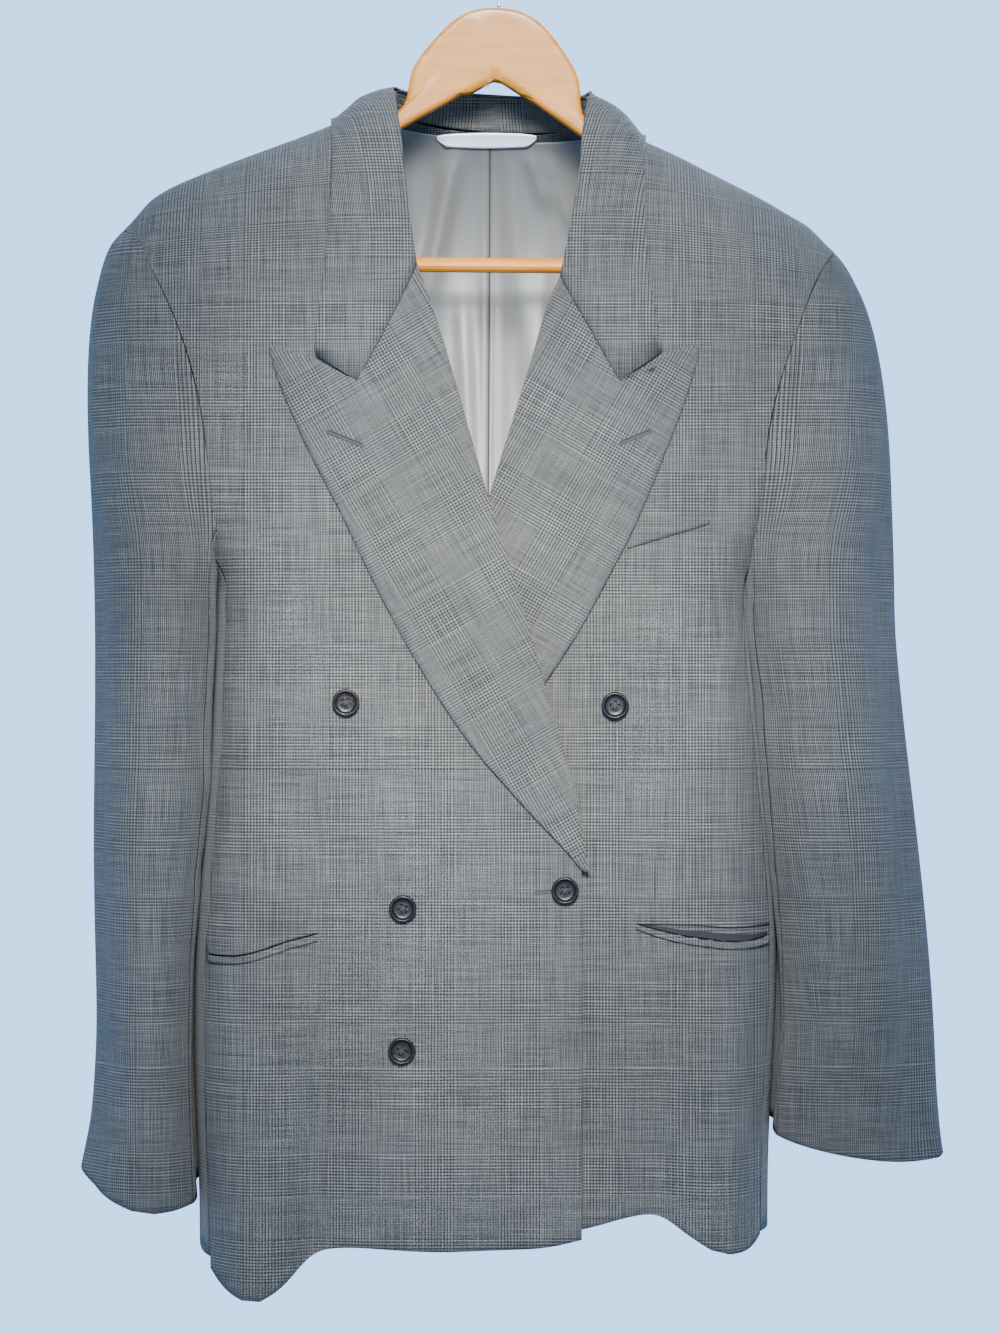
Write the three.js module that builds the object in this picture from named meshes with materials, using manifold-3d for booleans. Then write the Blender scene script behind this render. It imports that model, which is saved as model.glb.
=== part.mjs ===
// A double breasted blazer hanging on a wooden hanger.
// Millimetres, +Z up, +X to the viewer's right, the fronts face -Y.
// The origin is the inside top of the hook, where the hanger is held.
// "right" and "left" are the wearer's: the wearer's right side lies at -X.

import * as THREE from 'three';
import Module from 'manifold-3d';
import { mergeVertices } from 'three/addons/utils/BufferGeometryUtils.js';

const wasm = await Module();
wasm.setup();

// Driving sizes of the cloth
const CLOTH = 1.8;
const LINING = 1.0;
const SEAM = 0.3;
const DEPTH = 66;
const SHOULDER_DROP = 110;
const SIDE_ROUND = 45;
const UNDERLAP_SINK = 6.5;
const UNDERLAP_RAMP = 60;
const LAPEL_LIFT = { right: 0.8, left: 1.2 };
const COLLAR_BULGE = 2.2;
const COLLAR_ROLL_RISE = 1.4;
const LABEL_GAP = 0.4;
const LABEL_WALL = 0.6;
const UNDERARM_DROP = { right: 272, left: 255 };
const SEAM_INSET = { right: 9.6, left: 7.2 };
const UNDERARM_DIP = 15;
const SLEEVE_TOP = -485;
const SLEEVE_GAP = 0.6;
const CAP_SHARE = 0.42;
const ARMHOLE_SEAM_SHARE = 0.86;
const ARMHOLE_SPACING = 1.25;
const TRIM_LIFT = 0.9;
const TRIM_CLOTH = 1.2;
const BUTTON = { radius: 9.3, height: 4, holeRadius: 0.9, holeSpread: 2 };
const CUFF_BUTTON_RADIUS = 7.6;

// Driving sizes of the hanger
const WOOD = { thickness: 14, tiltDeg: 3, peakZ: -52.3, bevel: 3 };
const BAR = { radius: 5.2, leftZ: -233, rightZ: -229.5, endGap: 0.5 };
const EAR_X = 190;
const HOOK = { wire: 1.8, innerRadius: 17, fromDeg: -48, toDeg: 208, stepDeg: 16 };

// A table has a row for each section, with named columns
function table(names, rows) {
  return rows.map((row) => Object.fromEntries(names.map((name, i) => [name, row[i]])));
}

const SHOULDER = table(['x', 'z'], [
  [-262.6, -204.5], [-249, -192], [-233, -180], [-216, -172], [-115, -134], [-80, -121],
  [70, -131.5], [100, -145], [118, -152.5], [156, -172], [184, -186], [202, -197],
  [219.5, -207], [235.5, -220],
]);

// Where the armhole seam runs, by the drop below the shoulder line
const ARMHOLE = table(['drop', 'right', 'left'], [
  [0, -262.6, 235.5], [25, -250, 223.3], [55, -237.5, 211.7], [85, -225.3, 203],
  [115, -215, 194], [145, -207, 186.7], [175, -201.8, 181.8], [215, -197.2, 178.6],
  [250, -196.4, 177], [272, -195.3, 176.2],
]);

// The side outline of the body, hidden inside the sleeve above the underarm
const SIDE = table(['z', 'right', 'left'], [
  [-200, -330, 300], [-300, -285, 262], [-360, -255, 236], [-395, -231, 211],
  [-410, -222, 201], [-425, -212.5, 191.5], [-438, -204, 183], [-447, -199, 178],
  [-452, -196.8, 175.4], [-475, -196.4, 174.8], [-500, -197.2, 176], [-560, -199.8, 182.2],
  [-625, -204.6, 188.4], [-680, -209.2, 192.6], [-725, -211.6, 193], [-770, -212, 191.4],
  [-822, -211, 187.8], [-862, -208.6, 186.6], [-907, -208, 186.6], [-945, -206, 186],
]);

// The edge where each front turns back or ends, from the neck to the hem
const FRONT_EDGE = {
  right: table(['z', 'x'], [
    [-121, -80], [-140, -77], [-170, -72], [-200, -66], [-223, -59.5], [-241, -53.5],
    [-288, -40], [-311, -32.5], [-364, -18], [-399, -7.8], [-443, 6.5], [-478, 18.5],
    [-522, 29.8], [-547, 36], [-571, 44.8], [-596, 51], [-621, 55], [-645, 58],
    [-655, 57.2], [-700, 57.1], [-945, 56.6],
  ]),
  left: table(['z', 'x'], [
    [-131.5, 70.5], [-150, 67], [-175, 61.5], [-200, 55], [-222, 47.5], [-245, 42.8],
    [-265, 33.5], [-293, 26], [-322, 17.2], [-354, 7], [-387, -3.2], [-424, -14],
    [-499, -36], [-573, -57.5], [-607, -65.5], [-645, -71.5], [-700, -72.5], [-945, -72.5],
  ]),
};

const HEM = {
  right: table(['x', 'z'], [
    [-212, -902], [-207, -908], [-198, -921], [-184, -936], [-169, -940.6], [-155, -939],
    [-144, -930], [-134.6, -921], [-126, -907], [-118, -904.6], [-103, -905], [-74, -906.6],
    [-43.5, -908.4], [-7, -907.2], [31, -906], [50, -904.5], [57.5, -899],
  ]),
  left: table(['x', 'z'], [
    [-73, -897], [57, -896], [67, -891], [77, -887.5], [92, -884], [103, -881], [110, -882],
    [116, -886.5], [127, -895.7], [139, -902.5], [151, -908.4], [165, -909], [172, -907],
    [181, -896], [188, -886],
  ]),
};

// The cloth of both fronts swings forward in soft flutes that open towards the hem
const FLUTE = table(['x', 'out'], [
  [-212, 0], [-190, 6], [-165, 13], [-140, 5], [-122, -7], [-95, -2], [-50, 1], [0, 0],
  [55, 0], [85, -3], [106, -8], [125, 4], [148, 12], [170, 7], [190, 0],
]);
const FLUTE_TOP = -690;
const FLUTE_HEM = -905;

const LAPEL = {
  right: table(['rollX', 'rollZ', 'edgeX', 'edgeZ'], [
    [-55.8, -236.8, -156.4, -292.5], [-44.2, -267.4, -150.3, -315.6],
    [-35.4, -295.9, -138.4, -343.5], [-25.8, -328.6, -126.3, -370],
    [-14.3, -370.7, -106.4, -406.1], [-2.7, -410.2, -92.2, -438.7],
    [8.8, -445.5, -74.8, -472.7], [19.7, -479.5, -57.1, -505.4],
    [28.6, -513.5, -38.6, -535.3], [37.4, -546.8, -17.6, -566.6],
    [46.2, -571.3, 3.4, -589.7], [52.4, -595.8, 23.1, -612.1],
    [57.1, -624.4, 42.8, -631.8], [61.4, -650.4, 56.4, -648.4],
  ]),
  left: table(['rollX', 'rollZ', 'edgeX', 'edgeZ'], [
    [41.5, -244.9, 136, -290.5], [32, -264.6, 134.8, -302],
    [24.5, -293.2, 126.5, -329.9], [15.6, -321.8, 114.2, -361.2],
    [5.4, -354.4, 101.3, -393.8], [-4.8, -387, 87.7, -424.4],
    [-15.6, -423.8, 73.6, -450.5], [-26.5, -461.2, 60.2, -476.1],
    [-37.4, -498.6, 45.9, -499.5], [-48.3, -536, 29.7, -524],
    [-59.2, -573.4, 0.7, -563.2], [-67.3, -607.4, -33.9, -603],
    [-73.4, -650.2, -62, -644],
  ]),
};

// The gorge seam and the notch, from the roll line to the end of the lapel or the collar
const LAPEL_TOP = {
  right: table(['x', 'z'], [
    [-55.8, -236.8], [-64.6, -256.5], [-84.3, -294.6], [-96.4, -316.6], [-125, -300.2],
    [-156.4, -292.5],
  ]),
  left: table(['x', 'z'], [
    [41.5, -244.9], [46.9, -255.1], [60, -277.9], [81.8, -318], [110.6, -297.6], [136, -290.5],
  ]),
};
const COLLAR_END = {
  right: table(['x', 'z'], [
    [-55.8, -236], [-64.6, -255.7], [-84.3, -293.8], [-96.4, -315.6], [-124.2, -299],
    [-126.5, -289.1],
  ]),
  left: table(['x', 'z'], [
    [41.5, -244.1], [46.9, -254.3], [60, -277.1], [81.8, -315.6], [110.2, -297],
    [111.3, -292.6],
  ]),
};

// The collar from the wearer's right gorge round the neck to the left one.
// A drop is measured below the shoulder line, and is negative behind the ridge.
const COLLAR = table(['rollX', 'rollDrop', 'rollLift', 'edgeX', 'edgeDrop', 'edgeLift'], [
  [-59.5, 88.6, 4.6, -122, 130, 2.8], [-63.5, 61, 5, -118.5, 97, 2.8],
  [-66.5, 34, 6.2, -114.2, 61, 3.6], [-70.5, 9, 10.5, -113, 24.5, 4.9],
  [-74, 0, 15, -115, 0, 5], [-64, -4, 20, -97, -9, 4], [-38, -6, 25, -60, -24, 4],
  [-7, -6.5, 26, -8, -28, 4], [24, -6, 26, 44, -24, 4], [50, -4, 23, 82, -9, 4],
  [61.5, 0, 21, 100.5, 0, 4.6], [57.5, 9, 11, 98.5, 21, 4.4], [55.5, 35, 6.2, 98.6, 56, 3],
  [52, 60, 5, 101, 93, 2.8], [47.5, 86, 4.6, 105.4, 117, 2.8],
]);

// The stand runs from the neck seam up to just under the roll
const STAND = table(['seamX', 'seamDrop', 'rollX', 'rollDrop', 'rollLift'], [
  [-69.5, 40, -67, 36, 3.4], [-75.6, 11, -71.2, 10, 7.2], [-78.9, 0, -74.5, 0, 12],
  [-68.5, -5.4, -64.3, -4, 17], [-40, -10.4, -38, -6, 22], [-7, -12.2, -7, -6.5, 23],
  [26, -10.4, 24, -6, 23], [57, -5.4, 50.3, -4, 20], [69, 0, 62, 0, 18],
  [66.6, 11, 58.2, 10, 7.6], [60.4, 40, 56, 37, 3.4],
]);

// The upper edge of each back half along the neck, by x
const BACK_NECK = table(['x', 'drop'], [
  [-300, 0], [-80, 0], [-70, 6], [-45, 11], [-7, 13], [28, 11], [58, 6], [70, 0], [300, 0],
]);
const BACK_SEAM = table(['z', 'x'], [[-100, -6], [-945, -11]]);
const BACK_HEM_Z = -893;
const LINING_HEM_Z = -868;
const LINING_INSET = 46;
const LINING_HANG = 3.4;

const SLEEVE = {
  right: table(['z', 'outer', 'inner', 'front', 'back'], [
    [-485, -282, -198.5, -77, 74], [-560, -282.5, -201.8, -75, 72],
    [-640, -283, -207.8, -71, 68], [-700, -281, -212.8, -67, 62],
    [-757, -279.5, -214.3, -63, 55], [-810, -282, -213.3, -60, 48],
    [-862, -291, -210.6, -60, 44],
  ]),
  left: table(['z', 'outer', 'inner', 'front', 'back'], [
    [-485, 276.5, 177, -74, 72], [-560, 284.5, 184.5, -72, 68],
    [-640, 293.5, 191.5, -68, 58], [-700, 298.8, 195.2, -62, 46],
    [-757, 302.5, 194.5, -56, 34], [-800, 304.5, 190.8, -50, 26],
    [-836, 308.5, 189.6, -48, 20],
  ]),
};
const CUFF = {
  right: { mean: -861.5, outer: 6, front: -21 },
  left: { mean: -835.5, outer: -11, front: -10 },
};

const POCKET = {
  right: {
    upper: table(['x', 'top', 'bottom'], [
      [-197.6, -700.6, -706], [-192, -701.2, -706.6], [-180, -701.4, -706.6],
      [-166, -698.6, -703.9],
      [-144, -691, -696.4], [-123, -685.6, -691],
    ]),
    lower: table(['x', 'top', 'bottom'], [
      [-197.6, -707.2, -711.8], [-192, -707.8, -712.4], [-180, -707.8, -712.4],
      [-166, -705.1, -710],
      [-144, -697.6, -702.4], [-123, -692.2, -696.6],
    ]),
  },
  left: {
    upper: table(['x', 'top', 'bottom'], [
      [93.2, -680.4, -685], [112, -681.4, -685.4], [139, -682.6, -686], [158, -684.4, -687.4],
      [172, -684, -687], [183.6, -682.6, -685.6],
    ]),
    lower: table(['x', 'top', 'bottom'], [
      [93.2, -685.6, -688.6], [112, -691, -694.8], [139, -695.8, -700], [158, -697.8, -702],
      [172, -697.4, -701.6], [183.6, -694.6, -698.8],
    ]),
  },
};
const WELT = {
  topLeft: { x: 100, z: -400.6 }, topRight: { x: 140.1, z: -387.7 },
  bottomLeft: { x: 86.8, z: -429.9 }, bottomRight: { x: 143.5, z: -412.9 },
};

const LABEL = table(['x', 'top', 'bottom'], [
  [-43.5, -134.6, -136.6], [-37, -133.2, -142.4], [-8, -132.4, -143], [20, -133.4, -142.6],
  [26.6, -134.8, -137],
]);

const FRONT_BUTTONS = table(['name', 'x', 'z'], [
  ['button_show_right', -104, -534.6], ['button_show_left', 78.9, -536.6],
  ['button_fastened', 44.9, -662.4], ['button_waist_right', -65.3, -674.7],
  ['button_hip_right', -66, -771.2],
]);
const CUFF_BUTTONS = table(['number', 'down'], [[1, 0.903], [2, 0.947]]);
const CUFF_BUTTON_ANGLE = -12;

// Half of the hanger's outline before it is tilted, from the peak to the lower V
const HANGER_TOP = table(['x', 'z'], [
  [0, -52.3], [14, -53.5], [26, -58.5], [35, -66.5], [43, -75.5], [51, -86], [58, -97],
  [60, -108], [60.5, -120], [66, -131], [80, -137.5], [95, -138.6], [140, -160], [185, -186],
  [207, -204],
  [214, -220], [211, -240], [203, -251], [EAR_X, -253], [EAR_X, -216], [166, -204], [140, -192],
  [100, -166], [66, -141.5], [34, -122], [10, -106.5],
]);
const HANGER_V_Z = -103.5;

const clamp = (value, low, high) => Math.min(Math.max(value, low), high);
const mix = (a, b, t) => a + (b - a) * t;
const smoothstep = (t) => clamp(t, 0, 1) ** 2 * (3 - 2 * clamp(t, 0, 1));
const degrees = (angle) => angle * Math.PI / 180;

// A monotone cubic through a table's rows: column "name" at the place "at" of column "key"
function read(rows, key, name, at) {
  const ascending = rows[0][key] < rows[rows.length - 1][key] ? rows : [...rows].reverse();
  const last = ascending.length - 1;
  const place = clamp(at, ascending[0][key], ascending[last][key]);
  let i = 0;
  while (i < last - 1 && place > ascending[i + 1][key]) i += 1;
  const rise = (k) => (ascending[k + 1][name] - ascending[k][name])
    / (ascending[k + 1][key] - ascending[k][key]);
  const tangent = (k) => {
    if (k === 0) return rise(0);
    if (k === last) return rise(last - 1);
    const before = rise(k - 1);
    const after = rise(k);
    return before * after <= 0 ? 0 : 2 * before * after / (before + after);
  };
  const span = ascending[i + 1][key] - ascending[i][key];
  const t = (place - ascending[i][key]) / span;
  const a = ascending[i][name];
  const b = ascending[i + 1][name];
  return a + (b - a) * t * t * (3 - 2 * t)
    + span * t * (1 - t) * ((1 - t) * tangent(i) - t * tangent(i + 1));
}

const shoulderZ = (x) => read(SHOULDER, 'x', 'z', x);

// How far the cloth of the body stands from the plane of the shoulders
function bodyDepth(x, z) {
  const fall = clamp((shoulderZ(x) - z) / SHOULDER_DROP, 0, 1);
  const fromSide = Math.min(x - read(SIDE, 'z', 'right', z), read(SIDE, 'z', 'left', z) - x);
  const near = clamp(fromSide / SIDE_ROUND, 0, 1);
  return DEPTH * Math.sqrt(1 - (1 - fall) ** 2) * Math.sqrt(1 - (1 - near) ** 2);
}

function fluteOut(x, z) {
  const open = smoothstep((FLUTE_TOP - z) / (FLUTE_TOP - FLUTE_HEM));
  return read(FLUTE, 'x', 'out', x) * open;
}

function bodyY(x, z, face) {
  return face < 0 ? -bodyDepth(x, z) - fluteOut(x, z) : bodyDepth(x, z);
}

// A point on the body's cloth, lifted off it. A negative drop is behind the shoulder ridge.
function onBody(x, drop, lift, face = drop < 0 ? 1 : -1) {
  const depth = Math.abs(drop);
  const z = shoulderZ(x) - depth;
  const normal = new THREE.Vector3();
  const slope = (shoulderZ(x + 1) - shoulderZ(x - 1)) / 2;
  if (depth < SHOULDER_DROP) {
    const lean = Math.acos(1 - depth / SHOULDER_DROP);
    const up = DEPTH * Math.cos(lean);
    normal.set(-slope * up, face * SHOULDER_DROP * Math.sin(lean), up);
  } else {
    const acrossX = (bodyY(x + 1, z, face) - bodyY(x - 1, z, face)) / 2;
    const acrossZ = (bodyY(x, z + 1, face) - bodyY(x, z - 1, face)) / 2;
    normal.set(-face * acrossX, face, -face * acrossZ);
  }
  return new THREE.Vector3(x, bodyY(x, z, face), z).addScaledVector(normal.normalize(), lift);
}

const onFront = (x, z, lift) => onBody(x, Math.max(shoulderZ(x) - z, 0), lift, -1);

// The left front sinks under the right one where they overlap
function underlapSink(x, z) {
  const overEdge = read(FRONT_EDGE.right, 'z', 'x', z);
  return UNDERLAP_SINK * smoothstep((overEdge + UNDERLAP_RAMP - x) / UNDERLAP_RAMP);
}

// A closed wall between two grids of points that have the same rows and columns
function wall(outer, inner) {
  const rows = outer.length;
  const columns = outer[0].length;
  const points = [...outer.flat(), ...inner.flat()];
  const index = [];
  const at = (r, c, layer) => layer * rows * columns + r * columns + c;
  const quad = (a, b, c, d) => index.push(a, b, c, a, c, d);
  for (let r = 0; r < rows - 1; r += 1) {
    for (let c = 0; c < columns - 1; c += 1) {
      quad(at(r, c, 0), at(r, c + 1, 0), at(r + 1, c + 1, 0), at(r + 1, c, 0));
      quad(at(r + 1, c, 1), at(r + 1, c + 1, 1), at(r, c + 1, 1), at(r, c, 1));
    }
  }
  for (let r = 0; r < rows - 1; r += 1) {
    quad(at(r, 0, 1), at(r, 0, 0), at(r + 1, 0, 0), at(r + 1, 0, 1));
    quad(at(r, columns - 1, 0), at(r, columns - 1, 1), at(r + 1, columns - 1, 1),
      at(r + 1, columns - 1, 0));
  }
  for (let c = 0; c < columns - 1; c += 1) {
    quad(at(0, c, 1), at(0, c + 1, 1), at(0, c + 1, 0), at(0, c, 0));
    quad(at(rows - 1, c, 0), at(rows - 1, c + 1, 0), at(rows - 1, c + 1, 1),
      at(rows - 1, c, 1));
  }
  if (signedVolume(points, index) < 0) index.reverse();
  const geometry = new THREE.BufferGeometry();
  const flat = points.flatMap((point) => [point.x, point.y, point.z]);
  geometry.setAttribute('position', new THREE.Float32BufferAttribute(flat, 3));
  geometry.setIndex(index);
  geometry.computeVertexNormals();
  return geometry;
}

function signedVolume(points, index) {
  let volume = 0;
  for (let i = 0; i < index.length; i += 3) {
    const [a, b, c] = [points[index[i]], points[index[i + 1]], points[index[i + 2]]];
    volume += a.dot(new THREE.Vector3().crossVectors(b, c)) / 6;
  }
  return volume;
}

function grid(rows, columns, pointAt) {
  return rows.map((row) => columns.map((column) => pointAt(row, column)));
}

// The same grid moved in from its surface, on the side where "inside" lies
function movedIn(points, thickness, inside) {
  return points.map((line, r) => line.map((point, c) => {
    const down = points[Math.min(r + 1, points.length - 1)][c].clone()
      .sub(points[Math.max(r - 1, 0)][c]);
    const across = line[Math.min(c + 1, line.length - 1)].clone()
      .sub(line[Math.max(c - 1, 0)]);
    const normal = down.cross(across).normalize();
    if (normal.dot(inside(point)) < 0) normal.negate();
    return point.clone().addScaledVector(normal, thickness);
  }));
}

// A grid without its first and last column
const trimmed = (points) => points.map((line) => line.slice(1, -1));

const steps = (count) => Array.from({ length: count + 1 }, (_, i) => i / count);

// Drops of the upper rows of a front or back, close together over the shoulder ridge
const UPPER_DROPS = [0, 1.6, 6.5, 15, 29, 48, 72, 100, 130, 162, 195, 228, 1];
const LOWER_SHARES = [0.018, 0.036, 0.07, 0.14, 0.22, 0.31, 0.4, 0.5, 0.6, 0.7, 0.8, 0.9, 1];
const FRONT_COLUMNS = [0, 0.02, 0.05, 0.09, 0.14, 0.2, 0.28, 0.37, 0.46, 0.55, 0.64, 0.73, 0.82,
  0.91, 1];
const BACK_COLUMNS = [0, 0.02, 0.05, 0.1, 0.16, 0.24, 0.36, 0.52, 0.68, 0.84, 1];
const RIDGE_GAP_DROP = 0.002;

// The rows of a panel: above the underarm by drop, below it by share of the way to the hem
function panelRows() {
  const upper = UPPER_DROPS.map((drop, i) => ({
    drop: Math.max(drop, RIDGE_GAP_DROP), underarm: i === UPPER_DROPS.length - 1, share: 0,
  }));
  const lower = LOWER_SHARES.map((share) => ({ share }));
  return [...upper, ...lower];
}

// A front or back panel, between the armhole and side seam and its inner edge
function bodyPanel(side, options) {
  const { innerX, hemZ, topDrop, face, lift, thickness, inset } = options;
  const sign = side === 'right' ? 1 : -1;
  const dropAtUnderarm = UNDERARM_DROP[side];
  const underarmX = read(ARMHOLE, 'drop', side, dropAtUnderarm) + sign * inset;
  const underarmZ = shoulderZ(underarmX) - dropAtUnderarm;
  const point = (row, across, raise) => {
    const upperDrop = row.underarm ? dropAtUnderarm : row.drop;
    let outerX;
    let outerZ;
    if (row.share > 0) {
      const sideX = (z) => read(SIDE, 'z', side, z) + sign * (SEAM_INSET[side] + inset);
      outerZ = mix(underarmZ, hemZ(sideX(hemZ(sideX(BACK_HEM_Z)))), row.share);
      outerX = sideX(outerZ);
    } else {
      outerX = read(ARMHOLE, 'drop', side, upperDrop) + sign * inset;
      outerZ = shoulderZ(outerX) - upperDrop;
    }
    let edgeX = innerX(outerZ);
    let edgeZ = outerZ;
    for (let turn = 0; turn < 6; turn += 1) {
      const startDrop = topDrop(edgeX);
      const midZ = shoulderZ(edgeX) - startDrop
        - (row.share > 0 ? dropAtUnderarm : upperDrop) * (1 - startDrop / dropAtUnderarm);
      edgeZ = row.share > 0 ? mix(midZ, hemZ(edgeX), row.share) : midZ;
      edgeX = innerX(edgeZ);
    }
    const x = mix(outerX, edgeX, across);
    const startDrop = topDrop(x);
    const used = startDrop + (row.share > 0 ? dropAtUnderarm : upperDrop)
      * (1 - startDrop / dropAtUnderarm);
    const z = row.share > 0 ? mix(shoulderZ(x) - used, hemZ(x), row.share)
      : shoulderZ(x) - used;
    return onBody(x, shoulderZ(x) - z, raise + lift(x, z), face);
  };
  const rows = panelRows();
  const columns = face < 0 ? FRONT_COLUMNS : BACK_COLUMNS;
  const outer = grid(rows, columns, (row, across) => point(row, across, 0));
  const inner = grid(rows, columns, (row, across) => point(row, across, -thickness));
  return wall(outer, inner);
}

function front(side) {
  const sign = side === 'right' ? 1 : -1;
  return bodyPanel(side, {
    innerX: (z) => read(FRONT_EDGE[side], 'z', 'x', z) - sign * SEAM,
    hemZ: (x) => read(HEM[side], 'x', 'z', x),
    topDrop: () => 0,
    face: -1,
    lift: (x, z) => (side === 'left' ? -underlapSink(x, z) : 0),
    thickness: CLOTH,
    inset: SEAM,
  });
}

function back(side) {
  const sign = side === 'right' ? 1 : -1;
  return bodyPanel(side, {
    innerX: (z) => read(BACK_SEAM, 'z', 'x', z) - sign * SEAM / 2,
    hemZ: () => BACK_HEM_Z,
    topDrop: (x) => read(BACK_NECK, 'x', 'drop', x),
    face: 1,
    lift: () => 0,
    thickness: CLOTH,
    inset: SEAM,
  });
}

// The lining hangs just inside the back, from the neck seam to above the hem
function lining(side) {
  const sign = side === 'right' ? 1 : -1;
  const innerX = (z) => read(BACK_SEAM, 'z', 'x', z) - sign * SEAM / 2;
  const outerX = (z) => (z > -436
    ? read(ARMHOLE, 'drop', side, Math.max(shoulderZ(sign * -190) - z, 60)) + sign * LINING_INSET
    : read(SIDE, 'z', side, z) + sign * LINING_INSET);
  const startDrop = (x) => Math.max(read(BACK_NECK, 'x', 'drop', x) + 2.5, 6);
  const point = (down, across, lift) => {
    const outX = outerX(mix(-190, LINING_HEM_Z, down));
    let x = outX;
    let z = 0;
    for (let turn = 0; turn < 4; turn += 1) {
      z = mix(shoulderZ(x) - startDrop(x), LINING_HEM_Z, down);
      x = mix(outX, innerX(z), across);
    }
    return onBody(x, shoulderZ(x) - z, lift, 1);
  };
  const rows = [0, 0.008, 0.02, 0.035, 0.055, 0.08, 0.11, 0.15, 0.25, 0.4, 0.55, 0.7, 0.85, 1];
  const columns = steps(7);
  const hang = -LINING_HANG;
  return wall(grid(rows, columns, (down, across) => point(down, across, hang)),
    grid(rows, columns, (down, across) => point(down, across, hang - LINING)));
}

// The angle round the body's side at which the front seam of the side panel lies
const seamAngle = (side) => Math.asin(1 - SEAM_INSET[side] / SIDE_ROUND);

function sidePoint(side, angle, z) {
  const sign = side === 'right' ? 1 : -1;
  const x = read(SIDE, 'z', side, z) + sign * SIDE_ROUND * (1 - Math.sin(angle));
  const flute = angle < Math.PI / 2 ? fluteOut(x, z) * Math.cos(angle) : 0;
  return new THREE.Vector3(x, -DEPTH * Math.cos(angle) - flute, z);
}

// The lower part of the armhole, across the top of the side panel
function underarmZ(side, angle) {
  const seamX = read(ARMHOLE, 'drop', side, UNDERARM_DROP[side]);
  const seamZ = shoulderZ(seamX) - UNDERARM_DROP[side];
  const across = (angle - Math.PI / 2) / (seamAngle(side) - Math.PI / 2);
  return seamZ - UNDERARM_DIP * (1 - across ** 2);
}

function sidePanel(side) {
  const gapAngle = SEAM / DEPTH * 1.6;
  const start = seamAngle(side) + gapAngle;
  const columns = steps(7).map((share) => mix(start, Math.PI - start, share));
  const hemZ = (angle) => mix(read(HEM[side], 'x', 'z', side === 'right' ? -203 : 180),
    BACK_HEM_Z, smoothstep((angle - start) / (Math.PI / 2)));
  const outer = grid([0, ...LOWER_SHARES], columns,
    (down, angle) => sidePoint(side, angle, mix(underarmZ(side, angle) - SEAM, hemZ(angle), down)));
  const toAxis = (point) => new THREE.Vector3(-point.x, -point.y * 3, 0);
  return wall(outer, movedIn(outer, CLOTH, toAxis));
}

// A point of the armhole seam, from the shoulder (share 0) to the underarm (share 1)
function armholePoint(side, share, face) {
  if (share <= ARMHOLE_SEAM_SHARE) {
    const drop = UNDERARM_DROP[side] * (share / ARMHOLE_SEAM_SHARE) ** ARMHOLE_SPACING;
    return onBody(read(ARMHOLE, 'drop', side, drop), Math.max(drop, RIDGE_GAP_DROP), 0, face);
  }
  const angle = mix(seamAngle(side), Math.PI / 2, 
    (share - ARMHOLE_SEAM_SHARE) / (1 - ARMHOLE_SEAM_SHARE));
  const point = sidePoint(side, angle, underarmZ(side, angle));
  return face < 0 ? point : point.setY(-point.y);
}

// The sleeve's ring at a height, by the angle round it: 0 outer, 90 front, 180 inner
function sleeveRing(side, angle, z) {
  const outer = read(SLEEVE[side], 'z', 'outer', z);
  const inner = read(SLEEVE[side], 'z', 'inner', z);
  const frontY = read(SLEEVE[side], 'z', 'front', z);
  const backY = read(SLEEVE[side], 'z', 'back', z);
  const turn = degrees(angle);
  return new THREE.Vector3(
    mix(inner, outer, (1 + Math.cos(turn)) / 2),
    mix(backY, frontY, (1 + Math.sin(turn)) / 2),
    z,
  );
}

function sleevePoint(side, angle, down) {
  const sign = side === 'right' ? 1 : -1;
  const wrapped = ((angle + 180) % 360 + 360) % 360 - 180;
  if (down > CAP_SHARE) {
    const along = (down - CAP_SHARE) / (1 - CAP_SHARE);
    const cuff = CUFF[side];
    const cuffZ = cuff.mean + cuff.outer * Math.cos(degrees(angle))
      + cuff.front * Math.sin(degrees(angle));
    const last = SLEEVE[side][SLEEVE[side].length - 1].z;
    const point = sleeveRing(side, angle, mix(SLEEVE_TOP, last, along));
    return point.setZ(mix(SLEEVE_TOP, cuffZ, along));
  }
  const from = armholePoint(side, Math.abs(wrapped) / 180, wrapped < 0 ? 1 : -1);
  from.x -= sign * SLEEVE_GAP;
  const to = sleeveRing(side, angle, SLEEVE_TOP);
  const reach = from.distanceTo(to);
  const leave = new THREE.Vector3(-sign, 0, -0.45).normalize().multiplyScalar(reach * 0.55);
  const arrive = new THREE.Vector3(0, 0, -reach * 1.05);
  const t = down / CAP_SHARE;
  const point = from.multiplyScalar(2 * t ** 3 - 3 * t ** 2 + 1);
  point.addScaledVector(leave, t ** 3 - 2 * t ** 2 + t);
  point.addScaledVector(to, 3 * t ** 2 - 2 * t ** 3);
  return point.addScaledVector(arrive, t ** 3 - t ** 2);
}

// A two-piece sleeve: the upper sleeve covers the cap, the under sleeve the inside
const SLEEVE_SEAMS = { frontDeg: 146, backDeg: -118, gapDeg: 0.3, upperColumns: 12, underColumns: 7 };

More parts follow.
